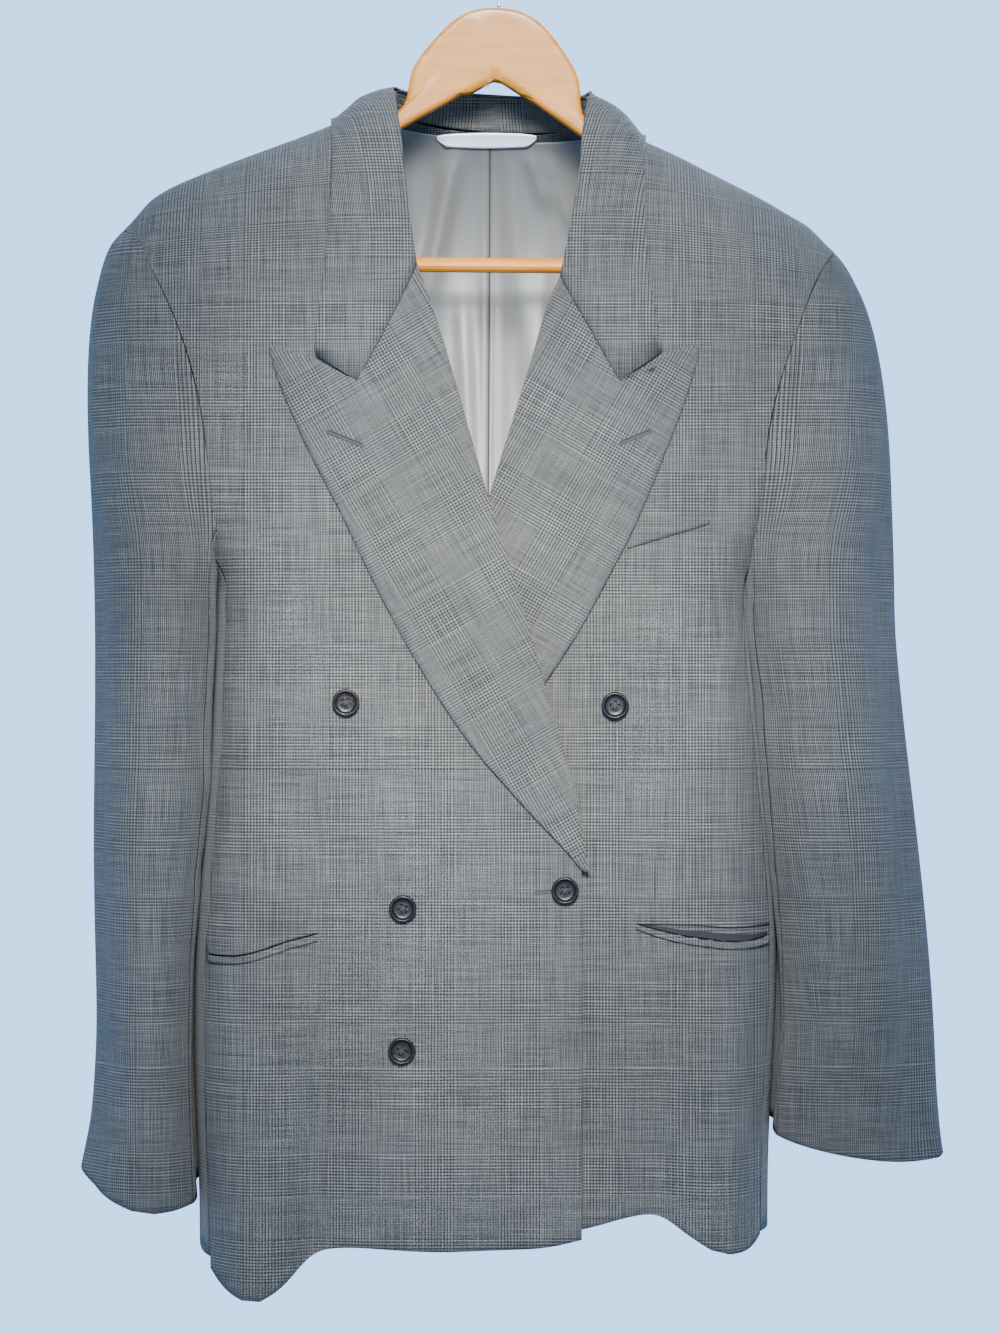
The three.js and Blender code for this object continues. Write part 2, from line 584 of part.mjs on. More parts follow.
function sleevePiece(side, fromDeg, toDeg, count) {
  const rows = [...steps(9).map((share) => share * CAP_SHARE),
    ...steps(10).slice(1).map((share) => mix(CAP_SHARE, 1, share))];
  const step = (toDeg - fromDeg) / count;
  const angles = steps(count + 2).map((share) => mix(fromDeg - step, toDeg + step, share));
  const outer = grid(rows, angles, (down, angle) => sleevePoint(side, angle, down));
  const toAxis = (point) => {
    const z = Math.min(point.z, SLEEVE_TOP);
    const axis = sleeveRing(side, 90, z).add(sleeveRing(side, 270, z)).multiplyScalar(0.5);
    const lift = point.z > SLEEVE_TOP ? (point.z - SLEEVE_TOP) * 0.35 : 0;
    return new THREE.Vector3(axis.x - point.x, axis.y - point.y, -lift);
  };
  return wall(trimmed(outer), trimmed(movedIn(outer, CLOTH, toAxis)));
}

function upperSleeve(side) {
  const { frontDeg, backDeg, gapDeg, upperColumns } = SLEEVE_SEAMS;
  return sleevePiece(side, backDeg + gapDeg, frontDeg - gapDeg, upperColumns);
}

function underSleeve(side) {
  const { frontDeg, backDeg, gapDeg, underColumns } = SLEEVE_SEAMS;
  return sleevePiece(side, frontDeg + gapDeg, backDeg + 360 - gapDeg, underColumns);
}

// A place along a table of edge points, by its share of their number
function along(rows, share) {
  const place = clamp(share, 0, 1) * (rows.length - 1);
  const i = Math.min(Math.floor(place), rows.length - 2);
  return { x: mix(rows[i].x, rows[i + 1].x, place - i), z: mix(rows[i].z, rows[i + 1].z, place - i) };
}

// How much a bent end row departs from the straight line between its two ends
function bend(rows, share) {
  const point = along(rows, share);
  const end = rows[rows.length - 1];
  return { x: point.x - mix(rows[0].x, end.x, share), z: point.z - mix(rows[0].z, end.z, share) };
}

const LAPEL_BEND_ROWS = 5;

// The lapel lies on its front, from the roll line to its free edge
function lapel(side) {
  const rows = LAPEL[side];
  const point = (place, across, lift) => {
    const i = Math.min(Math.floor(place), rows.length - 2);
    const t = place - i;
    const value = (name) => mix(rows[i][name], rows[i + 1][name], t);
    const fade = clamp(1 - place / LAPEL_BEND_ROWS, 0, 1) ** 2;
    const top = bend(LAPEL_TOP[side], across);
    const x = mix(value('rollX'), value('edgeX'), across) + top.x * fade;
    const z = mix(value('rollZ'), value('edgeZ'), across) + top.z * fade;
    const sink = side === 'left' ? underlapSink(x, z) : 0;
    return onFront(x, z, lift - sink);
  };
  const places = [0, 0.25, 0.5, ...steps(rows.length - 2).map((s) => 1 + s * (rows.length - 2))];
  const columns = steps(LAPEL_TOP[side].length - 1);
  const base = LAPEL_LIFT[side];
  return wall(grid(places, columns, (place, across) => point(place, across, base + CLOTH)),
    grid(places, columns, (place, across) => point(place, across, base)));
}

// A table with a row added halfway between each two
function withMiddles(rows) {
  const names = Object.keys(rows[0]);
  return rows.flatMap((row, i) => (i === 0 ? [row] : [
    Object.fromEntries(names.map((name) => [name, mix(rows[i - 1][name], row[name], 0.5)])), row,
  ]));
}

// The leaf of the collar, from the right gorge round behind the neck to the left gorge
function collarLeaf() {
  const shares = steps(5);
  const endRow = (side, extra) => shares.map((share) => {
    const place = along(COLLAR_END[side], share);
    return onFront(place.x, place.z, LAPEL_LIFT[side] + CLOTH + extra
      + COLLAR_ROLL_RISE * (1 - share));
  });
  const middleRow = (row, extra) => shares.map((share) => {
    const bulge = COLLAR_BULGE * Math.sin(Math.PI * share);
    const lift = mix(row.rollLift, row.edgeLift, share) + bulge + extra;
    const drop = mix(row.rollDrop, row.edgeDrop, share);
    const face = drop < 0 ? 1 : -1;
    return onBody(mix(row.rollX, row.edgeX, share), Math.abs(drop), lift, face);
  });
  const layer = (extra) => [endRow('right', extra),
    ...withMiddles(COLLAR).map((row) => middleRow(row, extra)), endRow('left', extra)];
  return wall(layer(0), layer(-CLOTH));
}

// The stand inside the collar, from the neck seam up to the roll
function collarStand() {
  const shares = steps(2);
  const outer = STAND.map((row) => shares.map((share) => {
    const drop = mix(row.seamDrop, row.rollDrop, share);
    const face = row.seamDrop < 0 ? 1 : -1;
    return onBody(mix(row.seamX, row.rollX, share), Math.abs(drop), row.rollLift * share, face);
  }));
  const inside = (point) => new THREE.Vector3(-7 - point.x, 5 - point.y, 0);
  return wall(outer, movedIn(outer, CLOTH, inside));
}

// A strip that lies on a front, between the two edges that its table gives
function strip(rows, side) {
  const layer = (raise) => steps((rows.length - 1) * 3).map((share) => {
    const x = mix(rows[0].x, rows[rows.length - 1].x, share);
    return steps(1).map((down) => {
      const z = mix(read(rows, 'x', 'top', x), read(rows, 'x', 'bottom', x), down);
      return onFront(x, z, raise - (side === 'left' ? underlapSink(x, z) : 0));
    });
  });
  return wall(layer(TRIM_LIFT + TRIM_CLOTH), layer(TRIM_LIFT));
}

// The breast welt leans with the slant of the pocket and stops at the lapel
function breastWelt() {
  const layer = (raise) => steps(5).map((share) => steps(2).map((down) => {
    const x = mix(mix(WELT.topLeft.x, WELT.topRight.x, share),
      mix(WELT.bottomLeft.x, WELT.bottomRight.x, share), down);
    const z = mix(mix(WELT.topLeft.z, WELT.topRight.z, share),
      mix(WELT.bottomLeft.z, WELT.bottomRight.z, share), down);
    return onFront(x, z, raise);
  }));
  return wall(layer(TRIM_LIFT + TRIM_CLOTH), layer(TRIM_LIFT));
}

function neckLabel() {
  const lift = -LINING_HANG - LINING - LABEL_GAP;
  const layer = (raise) => LABEL.map((row) => steps(2).map((share) => {
    const z = mix(row.top, row.bottom, share);
    return onBody(row.x, shoulderZ(row.x) - z, raise, 1);
  }));
  return wall(layer(lift), layer(lift - LABEL_WALL));
}

function toSolid(geometry) {
  const bare = geometry.clone();
  bare.deleteAttribute('normal');
  bare.deleteAttribute('uv');
  const merged = mergeVertices(bare, 1e-4);
  const index = merged.index.array;
  const kept = [];
  for (let i = 0; i < index.length; i += 3) {
    const [a, b, c] = [index[i], index[i + 1], index[i + 2]];
    if (a !== b && b !== c && c !== a) kept.push(a, b, c);
  }
  return new wasm.Manifold(new wasm.Mesh({
    numProp: 3,
    vertProperties: new Float32Array(merged.attributes.position.array),
    triVerts: new Uint32Array(kept),
  }));
}

function fromSolid(solid) {
  const mesh = solid.getMesh();
  const geometry = new THREE.BufferGeometry();
  geometry.setAttribute('position', new THREE.Float32BufferAttribute(mesh.vertProperties, 3));
  geometry.setIndex([...mesh.triVerts]);
  geometry.computeVertexNormals();
  return geometry;
}

// A four-hole button with a raised rim, its back at y = 0 and its face towards +Y
function buttonGeometry(radius) {
  const { height, holeRadius, holeSpread } = BUTTON;
  const profile = [[0, 0], [radius - 1.4, 0], [radius, 1.4], [radius, height - 0.8],
    [radius - 1, height], [radius - 2.2, height - 0.2], [radius - 3.4, height - 1.3],
    [0, height - 1.5]].map(([r, y]) => new THREE.Vector2(r, y));
  let solid = toSolid(new THREE.LatheGeometry(profile, 12));
  for (const [signX, signZ] of [[1, 1], [1, -1], [-1, 1], [-1, -1]]) {
    const hole = new THREE.CylinderGeometry(holeRadius, holeRadius, height * 3, 6);
    hole.translate(signX * holeSpread, 0, signZ * holeSpread);
    solid = solid.subtract(toSolid(hole));
  }
  return fromSolid(solid);
}

const BUTTON_CLEARANCE = 0.5;
const CUFF_BUTTON_CLEARANCE = 0.95;

// Seats a button on the cloth: its back faces the surface point along the outward normal
function seat(mesh, point, normal, clearance) {
  mesh.quaternion.setFromUnitVectors(new THREE.Vector3(0, 1, 0), normal);
  mesh.position.copy(point).addScaledVector(normal, clearance);
  return mesh;
}

function hangerWood() {
  const outline = [
    ...HANGER_TOP.map((row) => [row.x, row.z]),
    [0, HANGER_V_Z],
    ...[...HANGER_TOP].reverse().slice(0, -1).map((row) => [-row.x, row.z]),
  ];
  const shape = new THREE.Shape(outline.map(([x, z]) => new THREE.Vector2(x, z - WOOD.peakZ)));
  const geometry = new THREE.ExtrudeGeometry(shape, {
    depth: WOOD.thickness - 2 * WOOD.bevel, steps: 1, bevelEnabled: true,
    bevelThickness: WOOD.bevel, bevelSize: WOOD.bevel, bevelOffset: -WOOD.bevel,
    bevelSegments: 2,
  });
  geometry.translate(0, 0, -(WOOD.thickness - 2 * WOOD.bevel) / 2);
  geometry.rotateX(Math.PI / 2);
  geometry.rotateY(degrees(WOOD.tiltDeg));
  geometry.translate(0, 0, WOOD.peakZ);
  return geometry;
}

// The bar reaches from ear to ear of the tilted wood
function hangerBar() {
  const tilt = degrees(WOOD.tiltDeg);
  const faceX = (sign, z) => sign * (EAR_X / Math.cos(tilt) - BAR.endGap)
    + (z - WOOD.peakZ) * Math.tan(tilt);
  const from = new THREE.Vector3(faceX(-1, BAR.rightZ), 0, BAR.rightZ);
  const to = new THREE.Vector3(faceX(1, BAR.leftZ), 0, BAR.leftZ);
  const geometry = new THREE.CylinderGeometry(BAR.radius, BAR.radius, from.distanceTo(to), 14);
  geometry.rotateZ(Math.PI / 2);
  geometry.rotateY(Math.atan2(from.z - to.z, to.x - from.x));
  return geometry.translate((from.x + to.x) / 2, 0, (from.z + to.z) / 2);
}

// The hook is a bent wire: a straight shank, a turn out to the side and an open round
function hangerHook() {
  const radius = HOOK.innerRadius + HOOK.wire;
  const centreZ = -HOOK.innerRadius;
  const shankEnd = WOOD.peakZ + SEAM;
  const points = [
    new THREE.Vector3(0, 0, shankEnd), new THREE.Vector3(0, 0, shankEnd + 5),
    new THREE.Vector3(0.8, 0, shankEnd + 10), new THREE.Vector3(5, 0, shankEnd + 14.5),
  ];
  for (let angle = HOOK.fromDeg; angle <= HOOK.toDeg; angle += HOOK.stepDeg) {
    const turn = degrees(angle);
    points.push(new THREE.Vector3(radius * Math.cos(turn), 0, centreZ + radius * Math.sin(turn)));
  }
  const section = new THREE.Shape();
  section.absarc(0, 0, HOOK.wire, 0, Math.PI * 2, false);
  return new THREE.ExtrudeGeometry(section, {
    steps: 22, curveSegments: 4, bevelEnabled: false,
    extrudePath: new THREE.CatmullRomCurve3(points),
  });
}

const paint = (color, roughness, metalness = 0) => new THREE.MeshStandardMaterial(
  { color, roughness, metalness },
);
const CHECK_CLOTH = paint('#8b8f8c', 0.9);
const SATIN = paint('#a9a9a1', 0.45);
const LABEL_CLOTH = paint('#e9e9ea', 0.7);
const DARK_HORN = paint('#2f2622', 0.35);
const MAPLE = paint('#d9a263', 0.4);
const STEEL = paint('#c9ccd0', 0.25, 1);

const blazer = new THREE.Group();

function add(name, geometry, material) {
  const mesh = new THREE.Mesh(geometry, material);
  mesh.name = name;
  blazer.add(mesh);
  return mesh;
}

for (const side of ['right', 'left']) {
  add(`front_${side}`, front(side), CHECK_CLOTH);
  add(`side_panel_${side}`, sidePanel(side), CHECK_CLOTH);
  add(`back_${side}`, back(side), CHECK_CLOTH);
  add(`upper_sleeve_${side}`, upperSleeve(side), CHECK_CLOTH);
  add(`under_sleeve_${side}`, underSleeve(side), CHECK_CLOTH);
  add(`lapel_${side}`, lapel(side), CHECK_CLOTH);
  add(`jet_upper_${side}`, strip(POCKET[side].upper, side), CHECK_CLOTH);
  add(`jet_lower_${side}`, strip(POCKET[side].lower, side), CHECK_CLOTH);
  add(`lining_${side}`, lining(side), SATIN);
}
add('breast_welt', breastWelt(), CHECK_CLOTH);
add('collar_leaf', collarLeaf(), CHECK_CLOTH);
add('collar_stand', collarStand(), CHECK_CLOTH);
add('neck_label', neckLabel(), LABEL_CLOTH);

for (const row of FRONT_BUTTONS) {
  const sink = row.name === 'button_show_left' ? underlapSink(row.x, row.z) : 0;
  const point = onFront(row.x, row.z, -sink);
  const normal = onFront(row.x, row.z, 1 - sink).sub(point).normalize();
  seat(add(row.name, buttonGeometry(BUTTON.radius), DARK_HORN), point, normal, BUTTON_CLEARANCE);
}

for (const side of ['right', 'left']) {
  for (const { number, down } of CUFF_BUTTONS) {
    const point = sleevePoint(side, CUFF_BUTTON_ANGLE, down);
    const round = sleevePoint(side, CUFF_BUTTON_ANGLE + 2, down).sub(point);
    const along = sleevePoint(side, CUFF_BUTTON_ANGLE, down + 0.01).sub(point);
    const normal = round.cross(along).normalize();
    if (normal.x * point.x < 0) normal.negate();
    const mesh = add(`cuff_button_${side}_${number}`, buttonGeometry(CUFF_BUTTON_RADIUS), DARK_HORN);
    seat(mesh, point, normal, CUFF_BUTTON_CLEARANCE);
  }
}

add('hanger_wood', hangerWood(), MAPLE);
add('hanger_bar', hangerBar(), MAPLE);
add('hanger_hook', hangerHook(), STEEL);

export default blazer;
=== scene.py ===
# %% [markdown]
# # A double breasted blazer on a wooden hanger
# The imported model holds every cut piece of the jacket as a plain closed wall, at its real size.
# This lesson gives those walls their looks: smooth cloth with soft folds, a woven glen check,
# satin lining, horn buttons, varnished wood and a plated hook. Left and right are the wearer's.

# %% Load the frame
import math

import bmesh
import bpy
from mathutils import Matrix, Vector, noise


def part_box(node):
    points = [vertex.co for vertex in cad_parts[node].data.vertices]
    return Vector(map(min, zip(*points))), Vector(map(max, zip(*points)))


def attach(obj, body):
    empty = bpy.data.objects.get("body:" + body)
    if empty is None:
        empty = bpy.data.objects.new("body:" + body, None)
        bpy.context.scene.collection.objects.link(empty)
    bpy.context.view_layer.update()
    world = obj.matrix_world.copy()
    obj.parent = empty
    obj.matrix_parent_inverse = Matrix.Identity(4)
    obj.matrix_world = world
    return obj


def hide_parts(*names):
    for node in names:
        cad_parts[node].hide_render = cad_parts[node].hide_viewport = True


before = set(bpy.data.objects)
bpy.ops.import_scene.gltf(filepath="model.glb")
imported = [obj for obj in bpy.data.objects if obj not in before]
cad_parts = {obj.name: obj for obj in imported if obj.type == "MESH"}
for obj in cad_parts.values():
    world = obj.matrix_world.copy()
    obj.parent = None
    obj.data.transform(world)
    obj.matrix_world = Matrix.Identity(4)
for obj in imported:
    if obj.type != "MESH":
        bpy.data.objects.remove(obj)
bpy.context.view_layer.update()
MM = 0.001
print("frame loaded:", len(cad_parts), "nodes")

# %% [markdown]
# ## Camera
# The photograph looks straight at the fronts from about the height of the chest. A long lens
# three metres away keeps the sleeves from leaning. The frame is 906 mm tall at the cloth.

# %% Camera
CAMERA_DISTANCE = 3.0
CLOTH_PLANE_Y = -0.065
VIEW_CENTRE = (0.0007, -0.510)
VIEW_HEIGHT = 0.9064

camera_data = bpy.data.cameras.new("camera")
camera_data.sensor_width = 36.0
camera_data.lens = CAMERA_DISTANCE * 36.0 / VIEW_HEIGHT
camera = bpy.data.objects.new("camera", camera_data)
bpy.context.collection.objects.link(camera)
camera.location = (VIEW_CENTRE[0], CLOTH_PLANE_Y - CAMERA_DISTANCE, VIEW_CENTRE[1])
camera.rotation_euler = (math.radians(90), 0, 0)
bpy.context.scene.camera = camera
print("camera lens", round(camera_data.lens, 1))

# %% [markdown]
# ## Small helpers
# A fold is a soft trough or ridge: a smooth bump across a line, that fades at both ends.

# %% Helpers for shapes
def clamp(value, low=0.0, high=1.0):
    return max(low, min(high, value))


def smoothstep(low, high, value):
    t = clamp((value - low) / (high - low))
    return t * t * (3 - 2 * t)


# Where a fold grows and where it dies out again, as shares of its length
FOLD_GROWS = (-0.25, 0.3)
FOLD_ENDS = (0.7, 1.25)


def fold(x, z, start, end, width, height):
    """Height of a soft fold, in mm, that runs from start to end. Sizes and places are in mm."""
    run = Vector((end[0] - start[0], end[1] - start[1]))
    place = Vector((x - start[0], z - start[1]))
    share = place.dot(run) / run.length_squared
    aside = (place.x * run.y - place.y * run.x) / run.length
    fade = smoothstep(*FOLD_GROWS, share) * (1 - smoothstep(*FOLD_ENDS, share))
    return height * fade * math.exp(-(aside / width) ** 2)


def uneven(place, height, z, starts=-0.2, full=-0.32):
    """A slow rise and fall in mm, different at each place, nil above starts and whole below full."""
    return noise.noise(Vector(place)) * height * smoothstep(starts, full, z)


SAME_POINT = 2e-6
QUAD_FACE_ANGLE = math.radians(35)
QUAD_SHAPE_ANGLE = math.radians(70)


def merged_copy(node):
    """A bmesh of the node's walls with shared corners, its loose triangles joined to quads."""
    bm = bmesh.new()
    bm.from_mesh(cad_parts[node].data)
    bmesh.ops.remove_doubles(bm, verts=bm.verts, dist=SAME_POINT)
    bmesh.ops.join_triangles(bm, faces=bm.faces, angle_face_threshold=QUAD_FACE_ANGLE,
                             angle_shape_threshold=QUAD_SHAPE_ANGLE)
    return bm


RIM_ANGLE = math.radians(50)
CORNER_ANGLE = math.radians(28)
SHOULDER_TIP = (0.225, -0.232)


def at_shoulder_tip(point):
    return abs(point.x) > SHOULDER_TIP[0] and point.z > SHOULDER_TIP[1]


def nothing_pinned(point):
    return False


def hold_rims(bm, pinned=nothing_pinned):
    """Creases the edges of the wall, and pins the corners that its outline turns at.

    The tips of the shoulders stay free, so that they round over the top of the sleeve, and a
    piece may name more points that stay sharp."""
    edge_crease = bm.edges.layers.float.new("crease_edge")
    corner_crease = bm.verts.layers.float.new("crease_vert")
    for edge in bm.edges:
        if edge.is_manifold and edge.calc_face_angle() > RIM_ANGLE:
            edge[edge_crease] = 1.0
    for vert in bm.verts:
        rim = [e.other_vert(vert).co - vert.co for e in vert.link_edges if e[edge_crease] > 0.5]
        if pinned(vert.co):
            vert[corner_crease] = 1.0
        if at_shoulder_tip(vert.co):
            continue
        if len(rim) == 2 and rim[0].angle(-rim[1]) > CORNER_ANGLE:
            vert[corner_crease] = 1.0


def finish_mesh(bm, name):
    mesh = bpy.data.meshes.new(name)
    bm.to_mesh(mesh)
    bm.free()
    for polygon in mesh.polygons:
        polygon.use_smooth = True
    piece = bpy.data.objects.new(name, mesh)
    bpy.context.collection.objects.link(piece)
    return piece


def baked(piece):
    """The piece with its modifiers made part of its mesh, so that its points can be moved."""
    bpy.context.view_layer.update()
    depsgraph = bpy.context.evaluated_depsgraph_get()
    mesh = bpy.data.meshes.new_from_object(piece.evaluated_get(depsgraph))
    piece.modifiers.clear()
    piece.data = mesh
    return piece


def smooth_wall(node, name, levels, pinned=nothing_pinned):
    """A fine copy of a plain wall: rounded by subdivision between its held rims."""
    bm = merged_copy(node)
    hold_rims(bm, pinned)
    piece = finish_mesh(bm, name)
    subdivision = piece.modifiers.new("rounding", "SUBSURF")
    subdivision.levels = levels
    subdivision.render_levels = levels
    return baked(piece)


# %% [markdown]
# ## The folds of the hanging cloth
# Worsted is springy, so a hanging jacket has few folds, all long and soft. Each one is placed
# in millimetres on the front view, with a negative height for a trough. The lapels,
# pockets and buttons ride on the same folds as the front below them.

# %% Folds of the fronts
FRONT_FOLDS = (
    # start, end, width, height
    ((-190, -330), (-150, -470), 16, -2.2),
    ((-205, -400), (-178, -560), 13, 2.0),
    ((-214, -250), (-178, -330), 12, -1.8),
    ((176, -330), (140, -450), 15, -2.0),
    ((178, -400), (150, -590), 14, 2.2),
    ((205, -262), (172, -340), 11, -1.6),
    ((-150, -560), (-96, -690), 20, -2.0),
    ((-190, -640), (-140, -680), 13, 1.6),
    ((118, -560), (128, -660), 17, 1.8),
    ((30, -690), (66, -860), 17, -1.6),
    ((-118, -730), (-126, -905), 12, -2.6),
    ((-40, -700), (-70, -880), 22, 1.5),
    ((104, -735), (106, -880), 11, -2.4),
    ((-182, -745), (-190, -900), 10, 1.8),
    ((168, -720), (160, -900), 11, 1.7),
    ((70, -420), (96, -520), 16, 1.3),
)


# The lower lip of each hip pocket stands off: its lowest point, how it curves up, its ends
POCKET_LIPS = (
    # x, z, rise a square mm, from x, to x, height
    (163, -698.0, 0.0018, 96, 190, 3.0),
    (-186, -706.8, 0.0034, -200, -124, 0.9),
)
# How the lip fades at its start, its end, its sharp edge and down the front, in mm from its line
LIP_START = (0, 22)
LIP_END = (-6, 8)
LIP_EDGE = (-2.2, 0.6)
LIP_SETTLES = (-40, -5)


def ramp_from(line, fade, value):
    return smoothstep(line + fade[0], line + fade[1], value)


def pocket_lip(x, z):
    total = 0.0
    for low_x, low_z, rise, from_x, to_x, height in POCKET_LIPS:
        lip_z = low_z + rise * (x - low_x) ** 2
        inside = ramp_from(from_x, LIP_START, x) * (1 - ramp_from(to_x, LIP_END, x))
        below = 1 - ramp_from(lip_z, LIP_EDGE, z)
        total += height * inside * below * ramp_from(lip_z, LIP_SETTLES, z)
    return total


def front_fold(x, z):
    height = sum(fold(x / MM, z / MM, *row) for row in FRONT_FOLDS)
    return (height + pocket_lip(x / MM, z / MM) + uneven((x * 9, z * 5, 3.1), 1.5, z)) * MM


BACK_FOLDS = (
    ((-60, -170), (-120, -300), 18, -1.8),
    ((52, -180), (104, -320), 17, -1.8),
    ((-170, -360), (-130, -520), 16, 2.2),
    ((160, -370), (112, -540), 15, 2.0),
    ((-8, -560), (-12, -880), 20, -2.4),
    ((-90, -620), (-104, -880), 20, 2.3),
    ((78, -640), (90, -880), 18, 2.4),
    ((-160, -700), (-168, -890), 14, -2.0),
    ((146, -690), (150, -890), 14, -1.8),
)


def back_fold(x, z):
    height = sum(fold(x / MM, z / MM, *row) for row in BACK_FOLDS)
    return (height + uneven((x * 8, z * 4, 9.7), 1.6, z)) * MM


# %% [markdown]
# The sleeves bend a little at the elbow, where the cloth makes a few short slanted folds. A
# sleeve's folds are given by the angle round it (0 outside, 90 front, 180 inside) and height.

# %% Folds of the sleeves
SLEEVE_FOLDS = {
    # centre angle, centre height in mm, half angle, half height, slant in mm a degree, depth in mm
    "right": (
        (100, -560, 40, 16, 0.5, -2.0), (118, -600, 46, 14, 0.4, 1.8),
        (95, -690, 38, 18, -0.4, -1.8), (140, -648, 34, 12, 0.5, -1.6),
        (66, -330, 13, 70, 0.0, -4.0), (84, -318, 14, 60, 0.0, 1.6), (60, -760, 30, 20, -0.5, 1.6),
        (-110, -600, 44, 16, 0.4, -2.2), (-70, -660, 36, 18, -0.4, 1.8),
        (20, -820, 30, 24, 0.2, -1.0),
    ),
    "left": (
        (105, -545, 42, 16, 0.5, -2.0), (84, -590, 40, 18, 0.4, 1.8),
        (120, -676, 30, 22, -0.8, -2.0), (98, -720, 26, 26, -0.6, 1.8),
        (62, -350, 13, 60, 0.0, -3.2), (82, -330, 15, 60, 0.0, 1.4), (140, -745, 22, 40, 0.2, -1.8),
        (-100, -590, 42, 16, 0.4, -2.2), (-70, -650, 36, 18, -0.4, 1.8),
        (50, -790, 26, 26, 0.3, 1.2),
    ),
}


def sleeve_fold(side, angle, z):
    total = 0.0
    for centre, height, half_angle, half_height, slant, depth in SLEEVE_FOLDS[side]:
        away = (angle - centre + 180) % 360 - 180
        across = z / MM - height - slant * away
        total += depth * math.exp(-(away / half_angle) ** 2 - (across / half_height) ** 2)
    around = (math.cos(math.radians(angle)), z * 9, 5.5)
    return (total + uneven(around, 1.2, z, -0.24, -0.4)) * MM


# %% Where a sleeve's axis runs, from its own wall
AXIS_HEIGHTS = (-0.30, -0.42, -0.49, -0.56, -0.64, -0.70, -0.757, -0.81)
AXIS_HALF_BAND = 0.028


def middle_of(values):
    return (min(values) + max(values)) / 2


def sleeve_axis(side):
    """Middle points of the sleeve's section, by height, measured on the two pieces' walls."""
    points = []
    for piece in ("upper", "under"):
        points += [v.co.copy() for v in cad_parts[f"{piece}_sleeve_{side}"].data.vertices]
    axis = []
    for height in AXIS_HEIGHTS:
        near = [p for p in points if abs(p.z - height) < AXIS_HALF_BAND]
        axis.append((height, middle_of([p.x for p in near]), middle_of([p.y for p in near])))
    return axis


def axis_at(axis, z):
    if z >= axis[0][0]:
        return axis[0][1], axis[0][2]
    for (z0, x0, y0), (z1, x1, y1) in zip(axis, axis[1:]):
        if z >= z1:
            t = (z0 - z) / (z0 - z1)
            return x0 + (x1 - x0) * t, y0 + (y1 - y0) * t
    return axis[-1][1], axis[-1][2]


AXES = {side: sleeve_axis(side) for side in ("right", "left")}
OUTWARD = {"right": -1, "left": 1}


def sleeve_angle(side, point):
    x, y = axis_at(AXES[side], point.z)
    return math.degrees(math.atan2(-(point.y - y), (point.x - x) * OUTWARD[side]))


print("sleeve axes measured:", {side: len(axis) for side, axis in AXES.items()})

# %% [markdown]
# ## Grain
# A check only looks woven if it follows the cut of each piece. Every cloth piece gets a UV map
# in metres: along the grain up the piece, and across it. On the body the map opens out where
# the cloth turns over the shoulder. On a sleeve it goes round the arm, and on a lapel it leans
# with the free edge, because the lapel is cut along that edge.

# %% Grain maps
SHOULDER_TURN = 0.55
SHOULDER_ZONE = (-0.36, -0.26)
HALF_DEPTH = 0.066


def body_grain(point):
    turned = (HALF_DEPTH - abs(point.y)) * SHOULDER_TURN * smoothstep(*SHOULDER_ZONE, point.z)
    return point.x, point.z + turned


def side_grain(point):
    return point.y, point.z


ARM_RADIUS = 0.06


def sleeve_grain(side, middle):
    """Goes round the arm from the angle at the middle of the piece, so no piece is torn."""
    def grain(point):
        away = (sleeve_angle(side, point) - middle + 180) % 360 - 180
        return math.radians(away) * ARM_RADIUS, point.z
    return grain


def leaning_grain(lean):
    """The grain of a piece that is cut at an angle, in degrees from the upright."""
    turn = Matrix.Rotation(math.radians(lean), 2)

    def grain(point):
        across = turn @ Vector((point.x, point.z))
        return across.x, across.y
    return grain


LAPEL_LEAN = {"right": -30.0, "left": 30.0}
COLLAR_OPENING = 0.4


def collar_grain(point):
    return point.x + math.copysign(abs(point.y) * COLLAR_OPENING, point.x), point.z


def lay_grain(piece, grain):
    uv = piece.data.uv_layers.new(name="grain")
    places = [grain(v.co) for v in piece.data.vertices]
    for loop in piece.data.loops:
        uv.data[loop.index].uv = places[loop.vertex_index]
    across, along = zip(*places)
    return max(across) - min(across), max(along) - min(along)


# %% [markdown]
# ## Shader helpers
# A material is a tree of nodes. These helpers keep each tree short to read: one adds a node and
# sets its sockets, and the others do a sum, choose between two values or blend two colours.

# %% Shader helpers
def add_node(tree, kind, sockets=None, **settings):
    node = tree.nodes.new(kind)
    for name, value in settings.items():
        setattr(node, name, value)
    for name, value in (sockets or {}).items():
        if isinstance(value, bpy.types.NodeSocket):
            tree.links.new(value, node.inputs[name])
        else:
            node.inputs[name].default_value = value
    return node


def calc(tree, operation, first, second=0.0):
    return add_node(tree, "ShaderNodeMath", {0: first, 1: second}, operation=operation).outputs[0]


def choose(tree, switch, if_one, if_zero):
    return calc(tree, "ADD", calc(tree, "MULTIPLY", if_one, switch),
                calc(tree, "MULTIPLY", if_zero, calc(tree, "SUBTRACT", 1.0, switch)))


def noise_node(tree, place, scale, **sockets):
    """A noise texture whose sockets may also set Detail and Distortion."""
    return add_node(tree, "ShaderNodeTexNoise", {"Vector": place, "Scale": scale, **sockets}).outputs[0]


def blend_colors(tree, factor, first, second, blend_type="MIX"):
    return add_node(tree, "ShaderNodeMix", {0: factor, 6: first, 7: second}, data_type="RGBA",
                    blend_type=blend_type).outputs[2]


def scale_color(tree, color, factor):
    grey = add_node(tree, "ShaderNodeCombineColor", {0: factor, 1: factor, 2: factor})
    return blend_colors(tree, 1.0, color, grey.outputs[0], "MULTIPLY")


